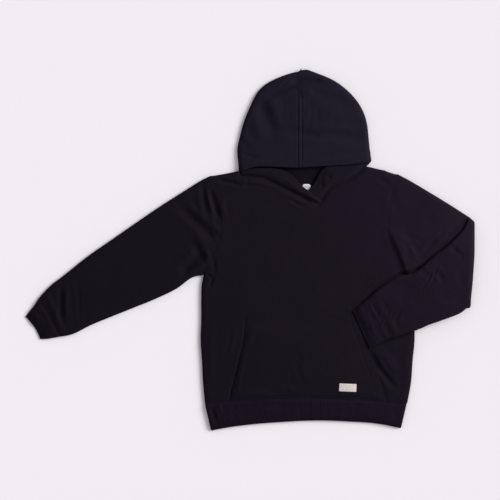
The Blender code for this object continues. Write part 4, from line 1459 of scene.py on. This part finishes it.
for node, name, fold, column, seam_side in (
    ("hood_left", "hood_left_fleece", LEFT_HOOD_FOLD, LEFT, -1),
    ("hood_right", "hood_right_fleece", RIGHT_HOOD_FOLD, RIGHT, 1),
):
    half, half_cloth = hood_half(fold, column, seam_side)
    half = turned(rolled(turned(half), "up", HEM_ROUND, 14.0, way=(0.0, -1.0, 0.0)))
    half_laps = (2, 0)
    if node == "hood_left":  # its allowance at the seam goes under the other half, but only on top
        half_laps = (2, 2)
        on_top = (np.arange(len(half)) > ROUND_STEPS + UNDER - 2)[:, None]
        reach, further = np.where(on_top, LAP, 0.03), np.where(on_top, 0.0, -0.14 - FLEECE)
        half = turned(lapped(turned(half), "up", FLEECE, further, reach))
    half = lapped(half, "up", FLEECE)
    shell(node, name, half, "up", FLEECE, HOOD_CLOTH_PAINTED_LIGHT, laps=half_laps, cloth=half_cloth)

# %% [markdown]
# ## Front corners of the hood
# Below the open edge the hood's two front corners run down to the neck seam and cross there, the
# left one on top. Each is a strip from the seam to its hemmed free edge. It is low under the hood's
# open edge, swells in the clear, and is drawn down to the front's level at the seam.

# %% Front corners
CORNER_TOP = 8.4
CORNER_ROWS, CORNER_WIDE = 130, 24.0  # the width is about, to space the columns by
CROSS_START, CROSS_END = 84.0, 116.0  # x where the left corner climbs onto the right one, and its tip
CORNER_PUCKERS = (
    (20, 121, 20, 6, 20, 8, 0.30),
    (60, 110, 18, 12, -40, 10, 0.20),
    (96, 84, 12, 8, -35, 8, 0.25),
    (110, 102, 10, 12, 60, 8, 0.25),
    (150, 120, 26, 8, 35, 10, 0.20),
)
CORNER_CREASES = (
    (20, 122, 52, 118, 0, 6, 0.6),
    (6, 121, 40, 112, -2, 6, 0.5),
    (124, 122, 128, 112, 0, 7, 1.1),
    (116, 112, 122, 102, 0, 7, -0.6),
    (132, 122, 154, 124, 0, 7, -0.6),
)


def over_the_crossing(x):
    """1 where the left corner lies on the right one, and 0 away from it and at its own tip."""
    return smooth_step((x - CROSS_START) / 12.0) * smooth_step((CROSS_END - x) / 8.0)


def corner(node, name, table, level, seam_level, swell):
    """A front corner: drawn down at its seam, swollen between, and hemmed along its free edge."""
    rows = along(table, CORNER_ROWS)
    width = width_of(rows)[:, None]
    rows[:, 2:] -= (rows[:, 2:] - rows[:, :2]) * HEM_ROUND / width
    share = steps(CORNER_WIDE, 0.8, 1.2, 5.0)
    plan = rows[:, None, :2] + (rows[:, None, 2:] - rows[:, None, :2]) * share[:, None]
    x, y = plan[..., 0], plan[..., 1]
    clear = smooth_step((rim(x) - y + 1.0) / 9.0)
    swollen = 1.0 + swell * np.sin(np.pi * share) ** 2 * smooth_step(width / 14.0)
    swollen += puckers(CORNER_PUCKERS, x, y) - creases(CORNER_CREASES, x, y)
    height = level(x) - 1.0 + clear * swollen
    height += (seam_level(x) - height) * groove(share * width, 3.8)
    grid = rolled(turned(np.stack([x, y, height], 2)), "up", HEM_ROUND, 10)
    grid = turned(lapped(grid, "up", FLEECE, seam_level(rows[:, :1]) - SEAM_LEVEL))
    shell(node, name, grid, "up", FLEECE, BODY_CLOTH, laps=(0, 2), cloth=plan)


corner(
    "hood_front_left",
    "hood_corner_left_fleece",
    LEFT_FRONT,
    lambda x: CORNER_TOP + over_the_crossing(x) - 2.0 * smooth_step((x - 104.0) / 10.0),
    lambda x: SEAM_LEVEL + 1.6 * over_the_crossing(x),
    swell=1.5,
)
corner(
    "hood_front_right",
    "hood_corner_right_fleece",
    RIGHT_FRONT,
    lambda x: CORNER_TOP - 2.4 * smooth_step((126.0 - x) / 14.0),
    lambda x: SEAM_LEVEL + 0 * x,
    swell=1.2,
)

# %% [markdown]
# ## Kangaroo pocket
# The pocket is one piece, sewn along its top and into the waistband, with a hemmed hand opening up
# each side. The free edges stand a little off the front, which is what makes them show.

# %% Pocket
POCKET_HEM = 13.0
POCKET_ROUND = 0.6
pocket_top, pocket_foot = POCKET[0][0], POCKET[-1][0]
down = steps(130.0, 0.8, 1.6, 14.0)[:, None]
left, right = edges_at(POCKET, pocket_top + (pocket_foot - pocket_top) * down)
x = left + POCKET_ROUND + (right - left - 2 * POCKET_ROUND) * steps(200.0, 1.0, 1.9, 20.0)
y = pocket_top + (band_seam(x) + SEAM_GAP - pocket_top) * down
from_edge = np.minimum(x - left, right - x)
free = smooth_step((pocket_top - y) / 14.0) * smooth_step((y - pocket_foot) / 20.0)
opening = 0.2 * groove(from_edge, 6.0) * free - 0.35 * groove(from_edge - POCKET_HEM, 1.3)
grid = np.stack([x, y, pocket_height(x, y) + opening], 2)
grid = rolled(turned(grid), "up", POCKET_ROUND, 10)
grid = turned(rolled(grid[::-1], "up", POCKET_ROUND, 10))
shell("pocket", "pocket_fleece", grid, "up", FLEECE - 0.2, BODY_CLOTH, skived=8)

# %% [markdown]
# ## Labels
# Two small woven labels: one sewn flat on the pocket's lower edge, one hanging inside the neck from
# its seam. Both are bare, because a maker's words have no place on a shared part.

# %% Labels
def label(node, name, place, height, lift, curl, radius, material, slot):
    """A label: a small sheet that follows the cloth under it, its edges pressed down and its middle up.

    Its corners are rounded: near both ends the rows get shorter, as the chords of a circle do.
    """
    x0, y0, width, length, degrees = place
    turn = math.radians(degrees)
    across, up = np.meshgrid(np.linspace(-0.5, 0.5, 56), 0.5 * np.cos(np.linspace(0, np.pi, 27)))
    past = np.clip((np.abs(up) - 0.5) * length / radius + 1, 0, 1)
    across = across * (1 - 2 * radius / width * (1 - np.sqrt(1 - past**2)))
    x = x0 + across * width * math.cos(turn) - up * length * math.sin(turn)
    y = y0 + across * width * math.sin(turn) + up * length * math.cos(turn)
    z = height(x, y) + lift + curl * (1 - (2 * across) ** 4) * (1 - (2 * up) ** 4)
    shell(node, name, np.stack([x, y, z], 2), "up", LABEL, material, slot)


def inside_neck(x, y):
    """The inside of the back, which rises towards the hood's seam."""
    return 2.2 + 1.7 * smooth_step((y - 98.0) / 7.0)


for node, name, place, height, lift, curl, radius, material, slot in (
    ("hem_label", "hem_label_woven", HEM_LABEL, pocket_height, 0.75, 0.35, 1.2, LABEL_CLOTH, "label_cream"),
    ("neck_label", "neck_label_satin", NECK_LABEL, inside_neck, 0.1, 0.5, 4.2, SATIN_CLOTH, "label_white"),
):
    label(node, name, place, height, lift, curl, radius, material, slot)

# %% [markdown]
# ## Stitches
# A coverstitch shows two parallel rows of short straight stitches. Each one is a small capsule of
# thread pulled into the cloth. They could be instances, but a joined mesh exports as it looks, so
# one capsule's points are turned and placed for every stitch at once.

# %% Rows of thread
THREAD = 0.55  # mm, a real one is 0.3 and is drawn thicker so that it shows
STITCH = 2.7
PITCH = 3.3


def capsule(rings=5, sides=6):
    """Points and faces of a capsule one unit long and one unit thick, along X."""
    turn = np.linspace(0, np.pi, rings + 2)[1:-1]
    round_it = np.linspace(0, 2 * np.pi, sides, endpoint=False)
    x = -0.5 * np.cos(turn)[:, None] + 0 * round_it
    radius = 0.5 * np.sin(turn)[:, None] ** 0.6
    ring = np.stack([x, radius * np.cos(round_it), radius * np.sin(round_it)], 2).reshape(-1, 3)
    points = np.concatenate([ring, [[-0.5, 0, 0], [0.5, 0, 0]]])
    number = np.arange(rings * sides).reshape(rings, sides)
    after = np.roll(number, -1, 1)
    sides_of = np.stack([number[:-1], number[1:], after[1:], after[:-1]], 2).reshape(-1, 4)
    first = np.stack([number[0], after[0], np.full(sides, rings * sides)], 1)
    last = np.stack([after[-1], number[-1], np.full(sides, rings * sides + 1)], 1)
    return points, sides_of.tolist() + first.tolist() + last.tolist()


def even_path(path, pitch):
    """Points a pitch apart along a path, and the direction at each."""
    ends = np.linalg.norm(np.diff(path, axis=0), axis=1)
    run = np.concatenate([[0], np.cumsum(ends)])
    at = np.arange(0.5 * pitch, run[-1], pitch)
    points = np.stack([np.interp(at, run, path[:, i]) for i in range(3)], 1)
    ahead = np.stack([np.interp(at + 0.5, run, path[:, i]) for i in range(3)], 1)
    behind = np.stack([np.interp(at - 0.5, run, path[:, i]) for i in range(3)], 1)
    return points, unit(ahead - behind)


def thread_rows(name, paths):
    """One mesh with a stitch at every pitch along all the paths."""
    base, faces = capsule()
    centres, ways = (np.concatenate(parts) for parts in zip(*(even_path(path, PITCH) for path in paths)))
    rng = np.random.default_rng(len(centres))
    ways = unit(ways + rng.normal(0, 0.05, ways.shape))
    sides = unit(np.cross([0.0, 0.0, 1.0], ways))
    ups = np.cross(ways, sides)
    axes = np.stack([ways * STITCH, sides * THREAD, ups * THREAD], 1)
    points = centres[:, None] + np.einsum("pi,nij->npj", base, axes)
    starts = range(0, len(base) * len(centres), len(base))
    every = [[start + number for number in face] for start in starts for face in faces]
    mesh = bpy.data.meshes.new(name)
    mesh.from_pydata((points.reshape(-1, 3) * MM).tolist(), [], every)
    mesh.shade_smooth()
    mesh.materials.append(POLYESTER_THREAD)
    piece = in_scene(name, mesh)
    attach(piece, "root")
    print(f"{name}: {len(centres)} stitches")
    return piece


def on_layer(x, y, height, lift=0.1):
    """Points at these places, a little over a layer's height."""
    return np.stack([x, y, height(x, y) + lift], 1)


# %% Where the rows run: first and last place, and how many points along them
BAND_ROWS_X = (-70, 247, 240)
HOOD_ROWS_Y = (134, 284, 110)
RIM_ROW_X = (-8, 184, 140)
OPENING_ROWS_Y = (-110, -226, 90)
POCKET_ROW_X, POCKET_ROW_Y = (2, 166, 100), -113.5
PAST_HEM = 1.5  # from the edge of a pocket opening's hem to its row


def on_front(x, y):
    """Top of the pocket where it lies, and of the front elsewhere."""
    left, right = edges_at(POCKET, y)
    return np.where((x > left) & (x < right), pocket_height(x, y), front_height(x, y))


band_x = np.linspace(*BAND_ROWS_X)
band_rows = [on_layer(band_x, band_seam(band_x) + FIRST_ROW + up, on_front) for up in (0, ROW_GAP)]
hood_y = np.linspace(*HOOD_ROWS_Y)
twin_x = HOOD_SEAM_X + 0.5 * TWIN_NEEDLE * np.repeat([[-1.0], [1.0]], len(hood_y), 1)
hood_rows = [on_layer(row_x, hood_y, hood_height) for row_x in twin_x]
rim_x = np.linspace(*RIM_ROW_X)
rim_rows = [on_layer(rim_x, rim(rim_x) + HOOD_HEM, hood_height)]
opening_y = np.linspace(*OPENING_ROWS_Y)
left, right = edges_at(POCKET, opening_y)
pocket_rows = [
    on_layer(row_x, opening_y, pocket_height, -0.3)
    for row_x in (left + POCKET_HEM + PAST_HEM, right - POCKET_HEM - PAST_HEM)
]
top_x = np.linspace(*POCKET_ROW_X)
pocket_rows.append(on_layer(top_x, np.full(len(top_x), POCKET_ROW_Y), pocket_height))
THREADS = [
    thread_rows("waistband_stitches", band_rows),
    thread_rows("hood_seam_stitches", hood_rows),
    thread_rows("hood_hem_stitches", rim_rows),
    thread_rows("pocket_stitches", pocket_rows),
]

# %% [markdown]
# ## Each piece's mesh
# The pattern has a chest of 340 mm laid flat and a sleeve of 300 mm without its cuff.

# %% Quads in each piece
print({name: len(piece.data.polygons) for name, piece in SHELLS.items()})

# %% [markdown]
# ## Table, light and camera
# The garment lies on a pale table in a light room. A far window on the right gives the soft shadows
# and a second soft light, which shines on the cloth alone, shows its folds. The camera's long lens
# looks straight down.

# %% Table and room
TABLE_HALF = 4.0  # metres
ROOM = 0.58
table_mesh = bpy.data.meshes.new("table")
table_corners = [(x * TABLE_HALF, y * TABLE_HALF, 0) for x, y in ((-1, -1), (1, -1), (1, 1), (-1, 1))]
table_mesh.from_pydata(table_corners, [], [(0, 1, 2, 3)])
table_mesh.materials.append(TABLE_CARD)
in_scene("table", table_mesh)

room = bpy.data.worlds.new("light_room")
bpy.context.scene.world = room
room.use_nodes = True
room.node_tree.nodes["Background"].inputs["Color"].default_value = linear("#f4f2f6")
room.node_tree.nodes["Background"].inputs["Strength"].default_value = ROOM

# %% Lights
WINDOW = 2.6
WINDOW_WIDTH, WINDOW_RISE, WINDOW_AZIMUTH = (math.radians(angle) for angle in (34, 38, 19))
SIDE, SIDE_SIZE, SIDE_PLACE = 7.5, 0.3, (0.80, 0.30, 0.36)
SIDE_TILT, SIDE_AZIMUTH = math.radians(62), math.radians(20)
window = bpy.data.lights.new("window", "SUN")
window.energy = WINDOW
window.angle = WINDOW_WIDTH
in_scene("window", window, turn=(0.0, 0.5 * math.pi - WINDOW_RISE, WINDOW_AZIMUTH))
side = bpy.data.lights.new("side_light", "AREA")
side.energy = SIDE
side.size = SIDE_SIZE
side_lamp = in_scene("side_light", side, SIDE_PLACE, (0.0, SIDE_TILT, SIDE_AZIMUTH))
garment = bpy.data.collections.new("garment")
bpy.context.scene.collection.children.link(garment)
for piece in [*SHELLS.values(), *THREADS]:
    garment.objects.link(piece)
side_lamp.light_linking.receiver_collection = garment

# %% Camera
VIEW_WIDTH = 0.8
DISTANCE = 3.2
SENSOR = 36.0
camera = bpy.data.cameras.new("camera")
camera.sensor_width = SENSOR
camera.lens = SENSOR * DISTANCE / VIEW_WIDTH
camera.clip_end = 20.0
bpy.context.scene.camera = in_scene("camera", camera, (0.0, 0.0, DISTANCE))
bpy.context.scene.view_settings.view_transform = "Standard"
print("lens, mm:", camera.lens)
